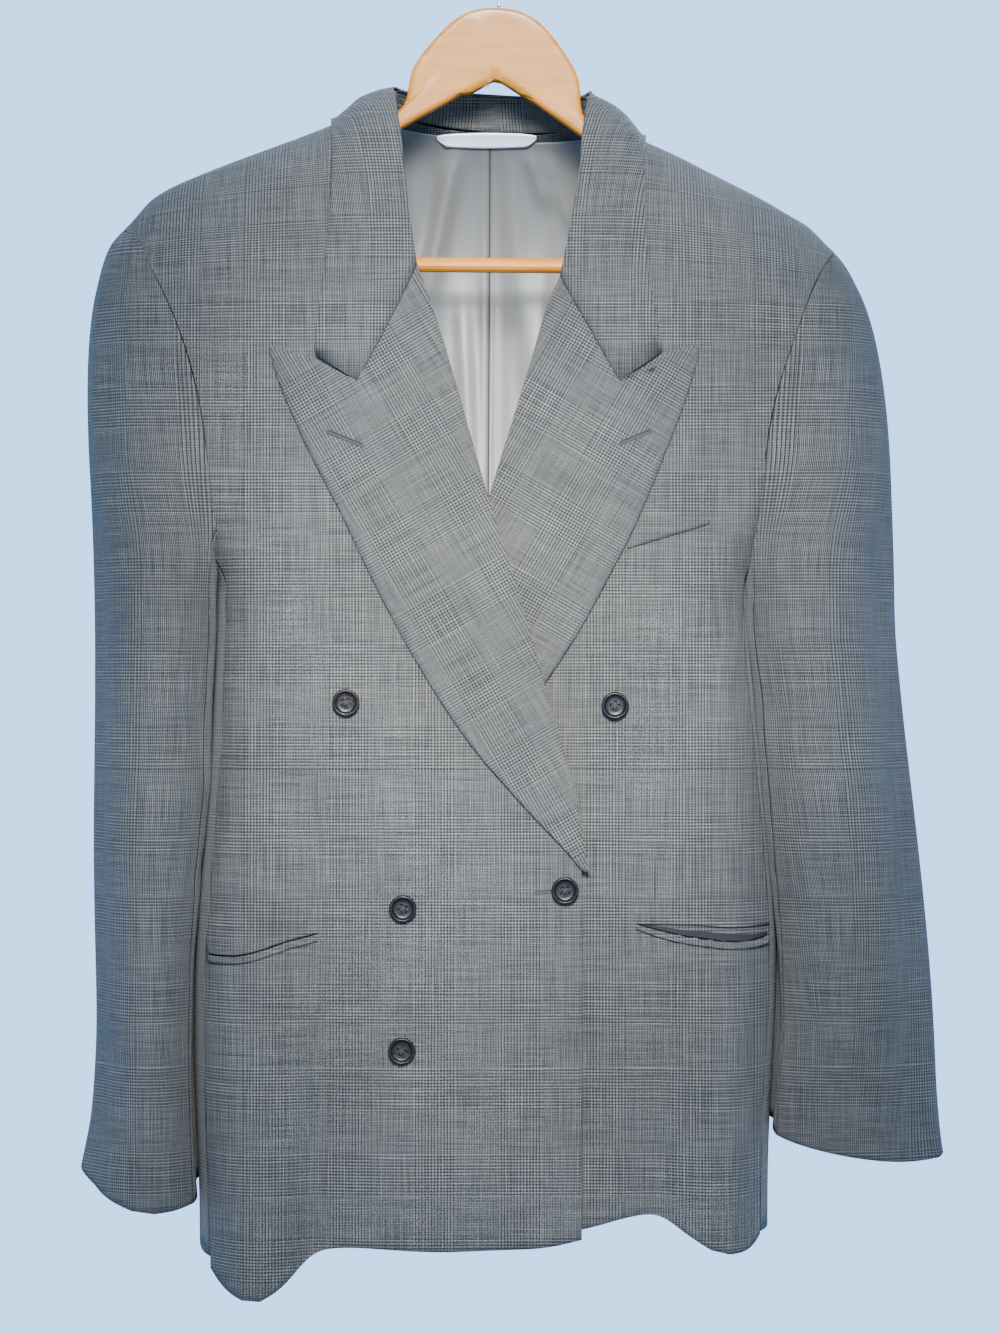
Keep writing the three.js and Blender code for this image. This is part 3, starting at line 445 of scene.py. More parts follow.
def new_group(name, inputs, outputs):
    tree = bpy.data.node_groups.new(name, "ShaderNodeTree")
    for label, kind, value in inputs:
        socket = tree.interface.new_socket(name=label, in_out="INPUT", socket_type=kind)
        if value is not None:
            socket.default_value = value
    for label, kind in outputs:
        tree.interface.new_socket(name=label, in_out="OUTPUT", socket_type=kind)
    return tree, tree.nodes.new("NodeGroupInput"), tree.nodes.new("NodeGroupOutput")


def object_place(tree):
    """Where a point lies on its own piece, in metres."""
    return add_node(tree, "ShaderNodeTexCoord").outputs["Object"]


def grain_place(tree):
    return add_node(tree, "ShaderNodeUVMap", uv_map="grain").outputs[0]


def two_tone(tree, factor, low, low_color, high, high_color):
    """One colour below the share low, another above the share high, and a blend between."""
    ramp = add_node(tree, "ShaderNodeValToRGB", {0: factor})
    for stop, share, color in zip(ramp.color_ramp.elements, (low, high), (low_color, high_color)):
        stop.position = share
        stop.color = color
    return ramp.outputs[0]


FLOAT, COLOR, VECTOR = "NodeSocketFloat", "NodeSocketColor", "NodeSocketVector"

# %% [markdown]
# ## The glen check
# A glen check is a plain rule: threads go four dark and four light for a while, then two dark
# and two light, both in the warp (upright) and in the weft (across), in a two-and-two twill.
# Where the broad bands cross, the cloth shows a small broken check. Where the fine ones cross,
# it reads as an even grey. The group works this out from the grain map, thread by thread.

# %% Glen check group
BROAD_THREADS = 8.0
FINE_THREADS = 4.0
TWILL_THREADS = 4.0
YARN_STEP = 0.61
YARN_CHANGES_A_METRE = 24.0


def glen_check_group():
    tree, given, result = new_group(
        "glen_check",
        [("Grain", VECTOR, None), ("Dark", COLOR, (0.03, 0.03, 0.03, 1)),
         ("Light", COLOR, (0.4, 0.4, 0.38, 1)), ("Thread", FLOAT, 0.00027),
         ("Repeat", FLOAT, 0.058), ("Unevenness", FLOAT, 3.2)],
        [("Color", COLOR), ("Height", FLOAT)])
    parts = add_node(tree, "ShaderNodeSeparateXYZ", {0: given.outputs["Grain"]})
    across, along = parts.outputs[0], parts.outputs[1]
    thread, repeat = given.outputs["Thread"], given.outputs["Repeat"]

    def half_of_every(place, length, operation="GREATER_THAN"):
        """1 on one half of each length along the place, 0 on the other half."""
        return calc(tree, operation, calc(tree, "FRACT", calc(tree, "DIVIDE", place, length)), 0.5)

    def stripes(place):
        """1 where the thread at this place is dark, and the thread's number."""
        count = calc(tree, "DIVIDE", place, thread)
        in_broad = half_of_every(place, repeat, "LESS_THAN")
        dark_here = choose(tree, in_broad, half_of_every(count, BROAD_THREADS),
                           half_of_every(count, FINE_THREADS))
        return dark_here, count

    warp_dark, warp_count = stripes(across)
    weft_dark, weft_count = stripes(along)
    steps = calc(tree, "ADD", calc(tree, "FLOOR", warp_count), calc(tree, "FLOOR", weft_count))
    warp_on_top = half_of_every(calc(tree, "ADD", steps, 0.5), TWILL_THREADS)
    dark = choose(tree, warp_on_top, warp_dark, weft_dark)

    def yarn(count, place):
        """Each yarn is a little thicker or thinner than the next, and along itself."""
        spot = add_node(tree, "ShaderNodeCombineXYZ", {
            0: calc(tree, "MULTIPLY", calc(tree, "FLOOR", count), YARN_STEP),
            1: calc(tree, "MULTIPLY", place, YARN_CHANGES_A_METRE)})
        return noise_node(tree, spot.outputs[0], 1.0, Detail=1.0)

    on_top = choose(tree, warp_on_top, yarn(warp_count, along), yarn(weft_count, across))
    shade = calc(tree, "ADD", 1.0, calc(tree, "MULTIPLY", calc(tree, "SUBTRACT", on_top, 0.5),
                                        given.outputs["Unevenness"]))
    plain = blend_colors(tree, dark, given.outputs["Light"], given.outputs["Dark"])
    rounded = calc(tree, "SINE", calc(tree, "MULTIPLY", calc(tree, "ADD", warp_count, weft_count),
                                      math.pi / 2))
    tree.links.new(scale_color(tree, plain, shade), result.inputs["Color"])
    tree.links.new(rounded, result.inputs["Height"])
    return tree


GLEN_CHECK = glen_check_group()
print("group", GLEN_CHECK.name, len(GLEN_CHECK.nodes), "nodes")

# %% [markdown]
# ## Soft mottle
# Nothing old and woven is one even colour. This group gives any material a slow drift of tone
# and a fine one, with their sizes set by the material that uses it.

# %% Mottle group
FINE_SHARE = 0.6
MOTTLE_MIDDLE = 0.8
MOTTLE_STRENGTH = 4.0


def mottle_group():
    tree, given, result = new_group(
        "mottle",
        [("Place", VECTOR, None), ("Color", COLOR, (0.5, 0.5, 0.5, 1)), ("Slow size", FLOAT, 6.0),
         ("Fine size", FLOAT, 900.0), ("Amount", FLOAT, 0.1)],
        [("Color", COLOR)])
    slow = noise_node(tree, given.outputs["Place"], given.outputs["Slow size"], Detail=3.0)
    fine = noise_node(tree, given.outputs["Place"], given.outputs["Fine size"], Detail=1.0)
    both = calc(tree, "ADD", slow, calc(tree, "MULTIPLY", fine, FINE_SHARE))
    centred = calc(tree, "SUBTRACT", both, MOTTLE_MIDDLE)
    amount = calc(tree, "MULTIPLY", given.outputs["Amount"], MOTTLE_STRENGTH)
    factor = calc(tree, "ADD", calc(tree, "MULTIPLY", centred, amount), 1.0)
    tree.links.new(scale_color(tree, given.outputs["Color"], factor), result.inputs["Color"])
    return tree


MOTTLE = mottle_group()
print("group", MOTTLE.name, len(MOTTLE.nodes), "nodes")


# %% Starting a material
def start_material(name, **principled):
    material = bpy.data.materials.new(name)
    material.use_nodes = True
    tree = material.node_tree
    shader = tree.nodes["Principled BSDF"]
    for label, value in principled.items():
        shader.inputs[label.replace("_", " ")].default_value = value
    return material, tree, shader


def plain_material(name, color, **principled):
    material, _, shader = start_material(name, **principled)
    shader.inputs["Base Color"].default_value = color
    return material


def darker(color, share):
    return [c * share for c in color[:3]] + [1]


def add_bump(tree, shader, height, strength, distance):
    bump = add_node(tree, "ShaderNodeBump", {"Strength": strength, "Distance": distance,
                                             "Height": height})
    tree.links.new(bump.outputs[0], shader.inputs["Normal"])


def vary_roughness(tree, shader, pattern, amount, lowest):
    tree.links.new(calc(tree, "ADD", calc(tree, "MULTIPLY", pattern, amount), lowest),
                   shader.inputs["Roughness"])


# %% [markdown]
# ## Materials
# The wool is matt with a faint sheen from its loose hairs. Its check has a near-black and a warm
# grey yarn, which read as a mid grey together, in the bright light of this scene.

# %% Check cloth
DARK_YARN = (0.004, 0.0038, 0.0036, 1)
LIGHT_YARN = (0.066, 0.0635, 0.056, 1)


def check_cloth(name, shade=1.0):
    material, tree, shader = start_material(name, Roughness=0.85, Sheen_Weight=0.04,
                                            Sheen_Roughness=0.5, Specular_IOR_Level=0.15)
    check = add_node(tree, "ShaderNodeGroup", {
        "Grain": grain_place(tree), "Dark": darker(DARK_YARN, shade),
        "Light": darker(LIGHT_YARN, shade)}, node_tree=GLEN_CHECK)
    mottle = add_node(tree, "ShaderNodeGroup", {
        "Place": object_place(tree), "Color": check.outputs["Color"], "Slow size": 5.0,
        "Fine size": 700.0, "Amount": 0.20}, node_tree=MOTTLE)
    tree.links.new(mottle.outputs["Color"], shader.inputs["Base Color"])
    add_bump(tree, shader, check.outputs["Height"], 0.6, 0.00014)
    return material


CLOTH = check_cloth("check_cloth")
# A copy of the cloth darkened to three tenths, painted shade: the bands of the lining's centre seam and
# of the dart
SEAM_SHADE = check_cloth("check_cloth_in_shade", 0.3)

# %% [markdown]
# The lining is silver grey satin: smooth, with a stronger sheen than the wool. Fine threads
# show only as a faint streak, so its grain is a stretched noise.

# %% Satin lining
def satin():
    material, tree, shader = start_material("satin_lining", Roughness=0.38, Sheen_Weight=0.10,
                                            Anisotropic=0.35, Specular_IOR_Level=0.5)
    place = object_place(tree)
    mottle = add_node(tree, "ShaderNodeGroup", {
        "Place": place, "Color": (0.088, 0.086, 0.078, 1), "Slow size": 7.0, "Amount": 0.05},
        node_tree=MOTTLE)
    tree.links.new(mottle.outputs["Color"], shader.inputs["Base Color"])
    stretch = add_node(tree, "ShaderNodeMapping", {"Vector": place, "Scale": (2600, 2600, 160)})
    add_bump(tree, shader, noise_node(tree, stretch.outputs[0], 1.0), 0.25, 0.0001)
    return material


SATIN = satin()

# %% [markdown]
# The neck label is woven in off-white with a dark blue selvedge, and it is left bare here. The
# thread of the lapels' buttonholes is a dark blue-grey silk.

# %% Label and thread
def woven_label():
    material, tree, shader = start_material("woven_label", Roughness=0.6, Sheen_Weight=0.15)
    weave = add_node(tree, "ShaderNodeTexWave", {"Vector": grain_place(tree), "Scale": 900.0},
                     bands_direction="Y")
    color = blend_colors(tree, calc(tree, "MULTIPLY", weave.outputs[1], 0.25),
                         (0.80, 0.80, 0.82, 1), (0.62, 0.63, 0.68, 1))
    tree.links.new(color, shader.inputs["Base Color"])
    add_bump(tree, shader, weave.outputs[1], 0.3, 0.0001)
    return material


def thread(name, color):
    material, tree, shader = start_material(name, Roughness=0.6, Sheen_Weight=0.05,
                                            Specular_IOR_Level=0.2)
    twist = noise_node(tree, object_place(tree), 2400.0)
    tree.links.new(blend_colors(tree, twist, color, darker(color, 0.6)), shader.inputs["Base Color"])
    add_bump(tree, shader, twist, 0.4, 0.0001)
    return material


LABEL = woven_label()
SELVEDGE = thread("selvedge", (0.02, 0.022, 0.05, 1))
BUTTONHOLE_SILK = thread("buttonhole_silk", (0.0085, 0.009, 0.014, 1))
BUTTON_THREAD = thread("button_thread", (0.016, 0.014, 0.014, 1))

# %% [markdown]
# Horn buttons are nearly black, with long faint clouds, brown in some buttons and grey in the
# others. Their polish is duller in the clouds.

# %% Horn
def horn(name, cloud_color):
    material, tree, shader = start_material(name, Coat_Weight=0.03, Coat_Roughness=0.2,
                                            Specular_IOR_Level=0.12)
    turned = add_node(tree, "ShaderNodeMapping", {
        "Vector": object_place(tree), "Rotation": (0.3, 0.9, 0.4), "Scale": (60, 160, 240)})
    clouds = noise_node(tree, turned.outputs[0], 1.0, Detail=4.0, Distortion=1.2)
    color = two_tone(tree, clouds, 0.42, (0.0025, 0.0022, 0.0022, 1), 0.70, cloud_color)
    tree.links.new(color, shader.inputs["Base Color"])
    vary_roughness(tree, shader, clouds, 0.3, 0.22)
    return material


HORN = horn("dark_horn", (0.011, 0.006, 0.0045, 1))
BLACK_HORN = horn("black_horn", (0.0042, 0.0040, 0.0044, 1))

# %% [markdown]
# The hanger is pale maple under clear varnish. Long grain runs from arm to arm, and a glue line
# stands at the centre where the two halves meet.

# %% Wood
def varnished_wood(name, grain_scale, glue_line):
    material, tree, shader = start_material(name, Coat_Weight=0.1, Coat_Roughness=0.25,
                                            Specular_IOR_Level=0.25)
    place = object_place(tree)
    stretched = add_node(tree, "ShaderNodeMapping", {"Vector": place, "Scale": grain_scale})
    grain = noise_node(tree, stretched.outputs[0], 1.0, Detail=5.0, Distortion=0.6)
    color = two_tone(tree, grain, 0.30, (0.25, 0.082, 0.0015, 1), 0.72, (0.35, 0.128, 0.002, 1))
    if glue_line:
        x = add_node(tree, "ShaderNodeSeparateXYZ", {0: place}).outputs[0]
        line = calc(tree, "LESS_THAN", calc(tree, "ABSOLUTE", calc(tree, "ADD", x, 0.0012)), 0.00045)
        color = blend_colors(tree, calc(tree, "MULTIPLY", line, 0.55), color, (0.20, 0.09, 0.03, 1))
    scratch_place = add_node(tree, "ShaderNodeMapping", {"Vector": place, "Rotation": (0, 0.7, 0),
                                                         "Scale": (40, 40, 900)})
    mask = calc(tree, "GREATER_THAN", noise_node(tree, scratch_place.outputs[0], 1.0), 0.70)
    tree.links.new(blend_colors(tree, calc(tree, "MULTIPLY", mask, 0.25), color,
                                (0.32, 0.11, 0.025, 1)), shader.inputs["Base Color"])
    vary_roughness(tree, shader, grain, 0.15, 0.28)
    add_bump(tree, shader, grain, 0.12, 0.0002)
    return material


WOOD = varnished_wood("varnished_wood", (22, 60, 190), True)
BAR_WOOD = varnished_wood("bar_wood", (14, 200, 200), False)


# %% Plated steel
def plated_steel():
    material, tree, shader = start_material("plated_steel", Metallic=1.0)
    wear = noise_node(tree, object_place(tree), 160.0, Detail=4.0)
    tree.links.new(blend_colors(tree, wear, (0.70, 0.71, 0.73, 1), (0.52, 0.53, 0.55, 1)),
                   shader.inputs["Base Color"])
    vary_roughness(tree, shader, wear, 0.18, 0.14)
    return material


STEEL = plated_steel()
print("materials:", len(bpy.data.materials))

# %% [markdown]
# ## Cutting the jacket
# Every cloth wall of the frame is copied, rounded and folded, and stands for its plain wall.
# A wall's two faces move together along one outward direction, so its thickness stays true.

# %% Moving the points of a piece
def toward_viewer(point):
    return Vector((0, -1, 0))


def away_from_viewer(point):
    return Vector((0, 1, 0))


def shift_points(piece, shift):
    for vert in piece.data.vertices:
        vert.co += shift(vert.co)


def move_points(piece, height, outward):
    shift_points(piece, lambda p: outward(p) * height(p))


def on_front(point):
    return front_fold(point.x, point.z)


def on_back(point):
    return back_fold(point.x, point.z)


SEAM_ZONE = (0.012, 0.045)


def fade_to_seam(point):
    """Folds die out towards the hidden side seams, so that the panels still meet there."""
    return smoothstep(*SEAM_ZONE, abs(point.y))


def flat_area(piece):
    """One face of a thin wall has half of the wall's whole surface."""
    return sum(polygon.area for polygon in piece.data.polygons) / 2


SPARE_WIDTH = 1.02


def declare_sheet(piece, size):
    """Prints the piece's grain size and one face's area; the width that would hold that area is worked
    out but not used.
    """
    area = flat_area(piece)
    width = max(size[0], area / size[1] * SPARE_WIDTH)
    print(f"{piece.name}: {size[0] / MM:.0f} x {size[1] / MM:.0f} mm, {area * 1e4:.0f} cm2")


def dress(piece, material, node=None):
    """Gives a piece its material and body, and hides the plain wall that it stands for, if any."""
    piece.data.materials.clear()
    piece.data.materials.append(material)
    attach(piece, "root")
    if node:
        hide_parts(node)
    return piece


def cloth_piece(node, grain, height=None, outward=toward_viewer, levels=2):
    piece = smooth_wall(node, f"cloth_{node}", levels)
    size = lay_grain(piece, grain)
    if height:
        move_points(piece, height, outward)
    dress(piece, CLOTH, node)
    return piece, size


# %% Fronts, side panels and backs
TIPS = {"right": Vector((-0.2626, 0, -0.2045)), "left": Vector((0.2355, 0, -0.220))}
TUCK_REACH = 0.030
TUCK = Vector((5.0, 0, -3.0)) * MM


def tuck_tip(side, point):
    """The tip of the shoulder rolls in over the sleeve head, and not past it."""
    near = 1 - smoothstep(0.0, TUCK_REACH, (point - TIPS[side]).length)
    return Vector((-OUTWARD[side] * TUCK.x, 0, TUCK.z)) * near


CUT = {}
for side in ("right", "left"):
    CUT[f"front_{side}"] = cloth_piece(
        f"front_{side}", body_grain, lambda p: on_front(p) * fade_to_seam(p), toward_viewer, 3)
    CUT[f"back_{side}"] = cloth_piece(
        f"back_{side}", body_grain, lambda p: on_back(p) * fade_to_seam(p), away_from_viewer, 3)
    CUT[f"side_panel_{side}"] = cloth_piece(f"side_panel_{side}", side_grain)
    for name in (f"front_{side}", f"back_{side}"):
        shift_points(CUT[name][0], lambda p: tuck_tip(side, p))


# %% Sleeves
def from_axis(side, point):
    x, y = axis_at(AXES[side], point.z)
    return Vector((point.x - x, point.y - y, 0)).normalized()


def on_sleeve(side, point):
    return sleeve_fold(side, sleeve_angle(side, point), point.z)


FRONT_LEAN = {"right": 7 * MM, "left": 11 * MM}
REAR_LEAN = {"right": 11 * MM, "left": 15 * MM}
FRONT_REACH = 0.030
REAR_REACH = 0.022
LEAN_ZONE = (-0.45, -0.36)
SEAM_CLOSE = 0.6 * MM
CAP_LIFT = 6 * MM
CAP_ZONE = (-0.250, -0.222)


def lean_on_body(side, point):
    """How far a point of a sleeve moves in to the body, and up at the cap.

    Below the upper arm, the front and the hidden rear swing in, so that no light shows between
    sleeve and body. The cap rises to fill the shoulder."""
    low = 1 - smoothstep(*LEAN_ZONE, point.z)
    depth = point.y - axis_at(AXES[side], point.z)[1]
    to_front = smoothstep(0.0, FRONT_REACH, -depth) * low
    to_rear = smoothstep(0.0, REAR_REACH, depth) * low
    inward = FRONT_LEAN[side] * to_front + REAR_LEAN[side] * to_rear + SEAM_CLOSE
    return Vector((-OUTWARD[side] * inward, 0, CAP_LIFT * smoothstep(*CAP_ZONE, point.z)))


# For each part of a sleeve, the angle round the arm at its middle, and how finely it is rounded
SLEEVE_PARTS = {"upper": (0, 3), "under": (180, 2)}
for side in ("right", "left"):
    for part, (middle_angle, levels) in SLEEVE_PARTS.items():
        name = f"{part}_sleeve_{side}"
        CUT[name] = cloth_piece(name, sleeve_grain(side, middle_angle),
                                lambda p: on_sleeve(side, p), lambda p: from_axis(side, p), levels)
        shift_points(CUT[name][0], lambda p: lean_on_body(side, p))

# %% Collar and lapels
LEAF_FRONT = (-0.02, -0.05)
for side in ("right", "left"):
    CUT[f"lapel_{side}"] = cloth_piece(f"lapel_{side}", leaning_grain(LAPEL_LEAN[side]), on_front)
CUT["collar_leaf"] = cloth_piece(
    "collar_leaf", collar_grain, lambda p: on_front(p) * smoothstep(*LEAF_FRONT, p.y))
CUT["collar_stand"] = cloth_piece("collar_stand", collar_grain)

# %% [markdown]
# The jets of the hip pockets and the welt of the breast pocket are pressed flat, so they lie a
# little lower on the front than their plain walls.

# %% Pockets
PRESSED = 0.8 * MM
for name in ("jet_upper_right", "jet_lower_right", "jet_upper_left", "jet_lower_left", "breast_welt"):
    CUT[name] = cloth_piece(name, body_grain, lambda p: on_front(p) - PRESSED)
print("cloth pieces cut:", len(CUT))

# %% [markdown]
# ## Lining and label
# The back lining hangs a little full, with long soft folds below the neck.

# %% Lining
LINING_FOLDS = (
    ((-30, -146), (-54, -250), 7, 8.0),
    ((-46, -150), (-62, -330), 6, -3.0),
    ((-52, -260), (-40, -470), 9, 6.0),
    ((20, -146), (34, -185), 6, 4.5),
    ((34, -150), (52, -200), 5, 4.0),
    ((8, -150), (22, -320), 8, 3.0),
    ((30, -220), (26, -480), 9, 5.5),
    ((-9, -140), (-10, -600), 3.5, 2.0),
    ((-2, -180), (0, -620), 6, -2.6),
    ((-26, -260), (-18, -420), 6, 4.0),
    ((-80, -260), (-70, -560), 12, 4.0),
    ((66, -250), (54, -560), 12, 4.0),
)
CLEAR_OF_BACK = -1.2 * MM
BELOW_NECK = (-0.136, -0.162)


def lining_height(point):
    """The lining follows the back behind it, and adds its own folds away from it."""
    total = sum(fold(point.x / MM, point.z / MM, *row) for row in LINING_FOLDS)
    ripple = uneven((point.x * 34, point.z * 7, 1.3), 1.6, point.z, *BELOW_NECK)
    own = (total * smoothstep(*BELOW_NECK, point.z) + ripple) * MM
    return max(own, CLEAR_OF_BACK) - back_fold(point.x, point.z) * fade_to_seam(point)


def lining_piece(node, name, levels, material):
    piece = smooth_wall(node, name, levels)
    size = lay_grain(piece, body_grain)
    move_points(piece, lining_height, toward_viewer)
    return dress(piece, material, node), size


for side in ("right", "left"):
    CUT[f"lining_{side}"] = lining_piece(
        f"lining_{side}", f"satin_lining_{side}", 3, SATIN)
label, label_size = lining_piece("neck_label", "label_neck", 2, LABEL)

# A dark woven edge shows all round the label, because a wider copy lies just behind it
EDGE_GROWTH = Vector((1.012, 1, 1.05))
EDGE_SET_BACK = 0.3 * MM
edge = bpy.data.objects.new("label_edge", label.data.copy())
bpy.context.collection.objects.link(edge)
middle = sum((v.co for v in edge.data.vertices), Vector()) / len(edge.data.vertices)
for vert in edge.data.vertices:
    vert.co = middle + (vert.co - middle) * EDGE_GROWTH
    vert.co.y += EDGE_SET_BACK
dress(edge, SELVEDGE)
print("lining and label laid on the back")

# %% [markdown]
# ## Buttons
# A horn button is turned: a dished face inside a raised rim, with four holes. The profile is
# spun round, and cutters make the holes. Thread crosses from hole to hole.

# %% Button shape
BUTTON_PROFILE = (
    # radius and height as shares of the button's radius
    (0.0, 0.0), (0.80, 0.0), (0.95, 0.07), (1.0, 0.17), (1.0, 0.30), (0.96, 0.39), (0.90, 0.43),
    (0.83, 0.42), (0.77, 0.35), (0.71, 0.25), (0.63, 0.21), (0.40, 0.22), (0.0, 0.24),
)
BUTTON_STEPS = 48
HOLE_SPREAD = 0.19
HOLE_RADIUS = 0.105
# The thread between the holes, also in shares: where its three strands lie, and their half sizes
STRANDS = (-0.035, 0.0, 0.035)
STRAND_HEIGHT = 0.27
STRAND_SIZE = (0.33, 0.03, 0.045)
CROSSING_LIFT = 0.18 * MM


def spun_button(radius):
    bm = bmesh.new()
    ring = [bm.verts.new((r * radius, 0, h * radius)) for r, h in BUTTON_PROFILE]
    edges = [bm.edges.new(pair) for pair in zip(ring, ring[1:])]
    bmesh.ops.spin(bm, geom=ring + edges, cent=(0, 0, 0), axis=(0, 0, 1), dvec=(0, 0, 0),
                   angle=2 * math.pi, steps=BUTTON_STEPS, use_merge=True)
    bmesh.ops.remove_doubles(bm, verts=bm.verts, dist=1e-6)
    bmesh.ops.recalc_face_normals(bm, faces=bm.faces)
    return finish_mesh(bm, "button_blank")


def hole_cutter(radius):
    bm = bmesh.new()
    spread = HOLE_SPREAD * radius
    for x in (-spread, spread):
        for y in (-spread, spread):
            bmesh.ops.create_cone(bm, segments=16, radius1=HOLE_RADIUS * radius, cap_ends=True,
                                  radius2=HOLE_RADIUS * radius, depth=radius * 2,
                                  matrix=Matrix.Translation((x, y, 0)))
    return finish_mesh(bm, "hole_cutter")


def button_mesh(radius):
    button, cutter = spun_button(radius), hole_cutter(radius)
    cut = button.modifiers.new("holes", "BOOLEAN")
    cut.object = cutter
    cut.operation = "DIFFERENCE"
    baked(button)
    bpy.data.objects.remove(cutter)
    return button


def thread_mesh(radius):
    """Two crossing bars of three strands each between the holes, one bar over the other."""
    bm = bmesh.new()
    size = Matrix.Diagonal([share * radius for share in STRAND_SIZE] + [1])
    for turn, lift in ((45, CROSSING_LIFT), (-45, 0.0)):
        for shift in STRANDS:
            height = STRAND_HEIGHT * radius + lift
            place = (Matrix.Rotation(math.radians(turn), 4, "Z")
                     @ Matrix.Translation((0, shift * radius, height)))
            bmesh.ops.create_uvsphere(bm, u_segments=16, v_segments=8, radius=1.0,
                                      matrix=place @ size)
    return finish_mesh(bm, "thread_blank")


# %% Seating the buttons
def place_on(piece, centre, normal, spin):
    """Turns a shape made round +Z to face along normal, at centre, with its place in its mesh."""
    turn = Vector((0, 0, 1)).rotation_difference(normal).to_matrix().to_4x4()
    matrix = Matrix.Translation(centre) @ turn @ Matrix.Rotation(math.radians(spin), 4, "Z")
    piece.data.transform(matrix)


# How far each front button is turned, and its horn
FRONT_BUTTONS = {
    "button_show_right": (12, HORN), "button_show_left": (40, BLACK_HORN),
    "button_fastened": (4, BLACK_HORN), "button_waist_right": (-20, BLACK_HORN),
    "button_hip_right": (30, HORN),
}
CUFF_HORN = {1: HORN, 2: BLACK_HORN}
CUFF_TURN = 25
FRONT_RADIUS, CUFF_RADIUS = 9.3 * MM, 7.6 * MM
CUFF_BUTTON_HALF = 1.9 * MM
CUFF_FORWARD = 0.6


def front_button_place(node):
    low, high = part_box(node)
    x, z = (low[0] + high[0]) / 2, (low[2] + high[2]) / 2
    return Vector((x, high[1] - front_fold(x, z), z)), Vector((0, -1, 0))


def cuff_button_place(node, side):
    low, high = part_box(node)
    centre = (Vector(low) + Vector(high)) / 2
    x, y = axis_at(AXES[side], centre.z)
    normal = Vector((centre.x - x, (centre.y - y) * CUFF_FORWARD, 0)).normalized()
    lift = on_sleeve(side, centre) - CUFF_BUTTON_HALF
    return centre + normal * lift + lean_on_body(side, centre), normal


def make_button(node, radius, place, spin, material):
    centre, normal = place
    button = button_mesh(radius)
    button.name = f"horn_{node}"
    place_on(button, centre, normal, spin)
    dress(button, material, node)
    stitches = thread_mesh(radius)
    stitches.name = f"horn_{node}_thread"
    place_on(stitches, centre, normal, spin)
    dress(stitches, BUTTON_THREAD)


for node, (spin, material) in FRONT_BUTTONS.items():
    make_button(node, FRONT_RADIUS, front_button_place(node), spin, material)
for side in ("right", "left"):
    for number, material in CUFF_HORN.items():
        node = f"cuff_button_{side}_{number}"
        make_button(node, CUFF_RADIUS, cuff_button_place(node, side), number * CUFF_TURN, material)
print("buttons sewn on:", len(FRONT_BUTTONS) + 2 * len(CUFF_HORN))

# %% [markdown]
# ## Sewing
# Small sewn details lie on the cloth wherever its folds have put it. A ray cast from the front
# finds that place. Each lapel has a blind buttonhole of thick silk, and the fastening button
# stands at the end of a cut one.

# %% Laying things on the cloth
RAY_START_Y = -0.4


def on_cloth(piece, x, z, lift):
    """The point in front of the piece's outer face at x and z, in millimetres."""
    start = Vector((x * MM, RAY_START_Y, z * MM))
    hit, place, normal, _ = piece.ray_cast(start, Vector((0, 1, 0)))
    if not hit:
        raise ValueError(f"no cloth of {piece.name} at {x}, {z}")
    if normal.y > 0:
        normal = -normal
    return place + normal * lift * MM


END_STEPS = 8
SIDE_STEPS = 14


def stadium(start, end, width):
    """Points round a slot with round ends, in the plane of the front, in millimetres."""
    a, b = Vector(start), Vector(end)
    along = (b - a).normalized()
    aside = Vector((-along.y, along.x))
    points = []
    for centre, turn in ((b, -90), (a, 90)):
        for i in range(END_STEPS + 1):
            angle = math.radians(turn + 180 * i / END_STEPS)
            points.append(centre + (along * math.cos(angle) + aside * math.sin(angle)) * width / 2)
    full = []
    for p, q in zip(points, points[1:] + points[:1]):
        count = SIDE_STEPS if (q - p).length > width else 1
        full += [p.lerp(q, i / count) for i in range(count)]
    return full


# Rings of a worked buttonhole, from the outer edge to the slit: share of the width, lift in mm
BUTTONHOLE_RINGS = ((1.0, 0.05), (0.92, 0.40), (0.68, 0.55), (0.42, 0.42), (0.24, 0.12), (0.10, 0.06))


def buttonhole(name, piece, start, end, width, material):
    bm = bmesh.new()
    rings = []
    for share, lift in BUTTONHOLE_RINGS:
        outline = stadium(start, end, width * share)
        rings.append([bm.verts.new(on_cloth(piece, p.x, p.y, lift)) for p in outline])
    for outer, inner in zip(rings, rings[1:]):
        for i in range(len(outer)):
            after = (i + 1) % len(outer)
            bm.faces.new((outer[i], outer[after], inner[after], inner[i]))
    bm.faces.new(rings[-1])
    bmesh.ops.recalc_face_normals(bm, faces=bm.faces)
    dress(finish_mesh(bm, name), material)


buttonhole("buttonhole_lapel_right", CUT["lapel_right"][0], (-115.5, -350.4), (-94, -359.2), 3.4,
           BUTTONHOLE_SILK)
buttonhole("buttonhole_lapel_left", CUT["lapel_left"][0], (83.2, -358), (102, -350.2), 3.4,
           BUTTONHOLE_SILK)
buttonhole("buttonhole_fastening", CUT["front_right"][0], (25.5, -663.7), (37, -662.5), 2.6,
           BUTTON_THREAD)
print("buttonholes worked: 3")

# %% [markdown]
# A seam or a pocket's mouth is a narrow band of faces between rows of points on the cloth. Above the
# lower lip of both hip pockets a near-black band is painted shade for the pocket's depth, and the left
# one gapes, with its inside painted in shade as a dark plain band. The lining's centre seam and the
# dart that runs down to the left pocket are bands of the cloth's darkened copy, painted shade.

# %% Seams and pocket mouths
def band(name, rows, material):
    bm = bmesh.new()
    rows = [[bm.verts.new(point) for point in row] for row in rows]
    for before, after in zip(rows, rows[1:]):
        for i in range(len(before) - 1):
            bm.faces.new((before[i], before[i + 1], after[i + 1], after[i]))
    dress(finish_mesh(bm, name), material)


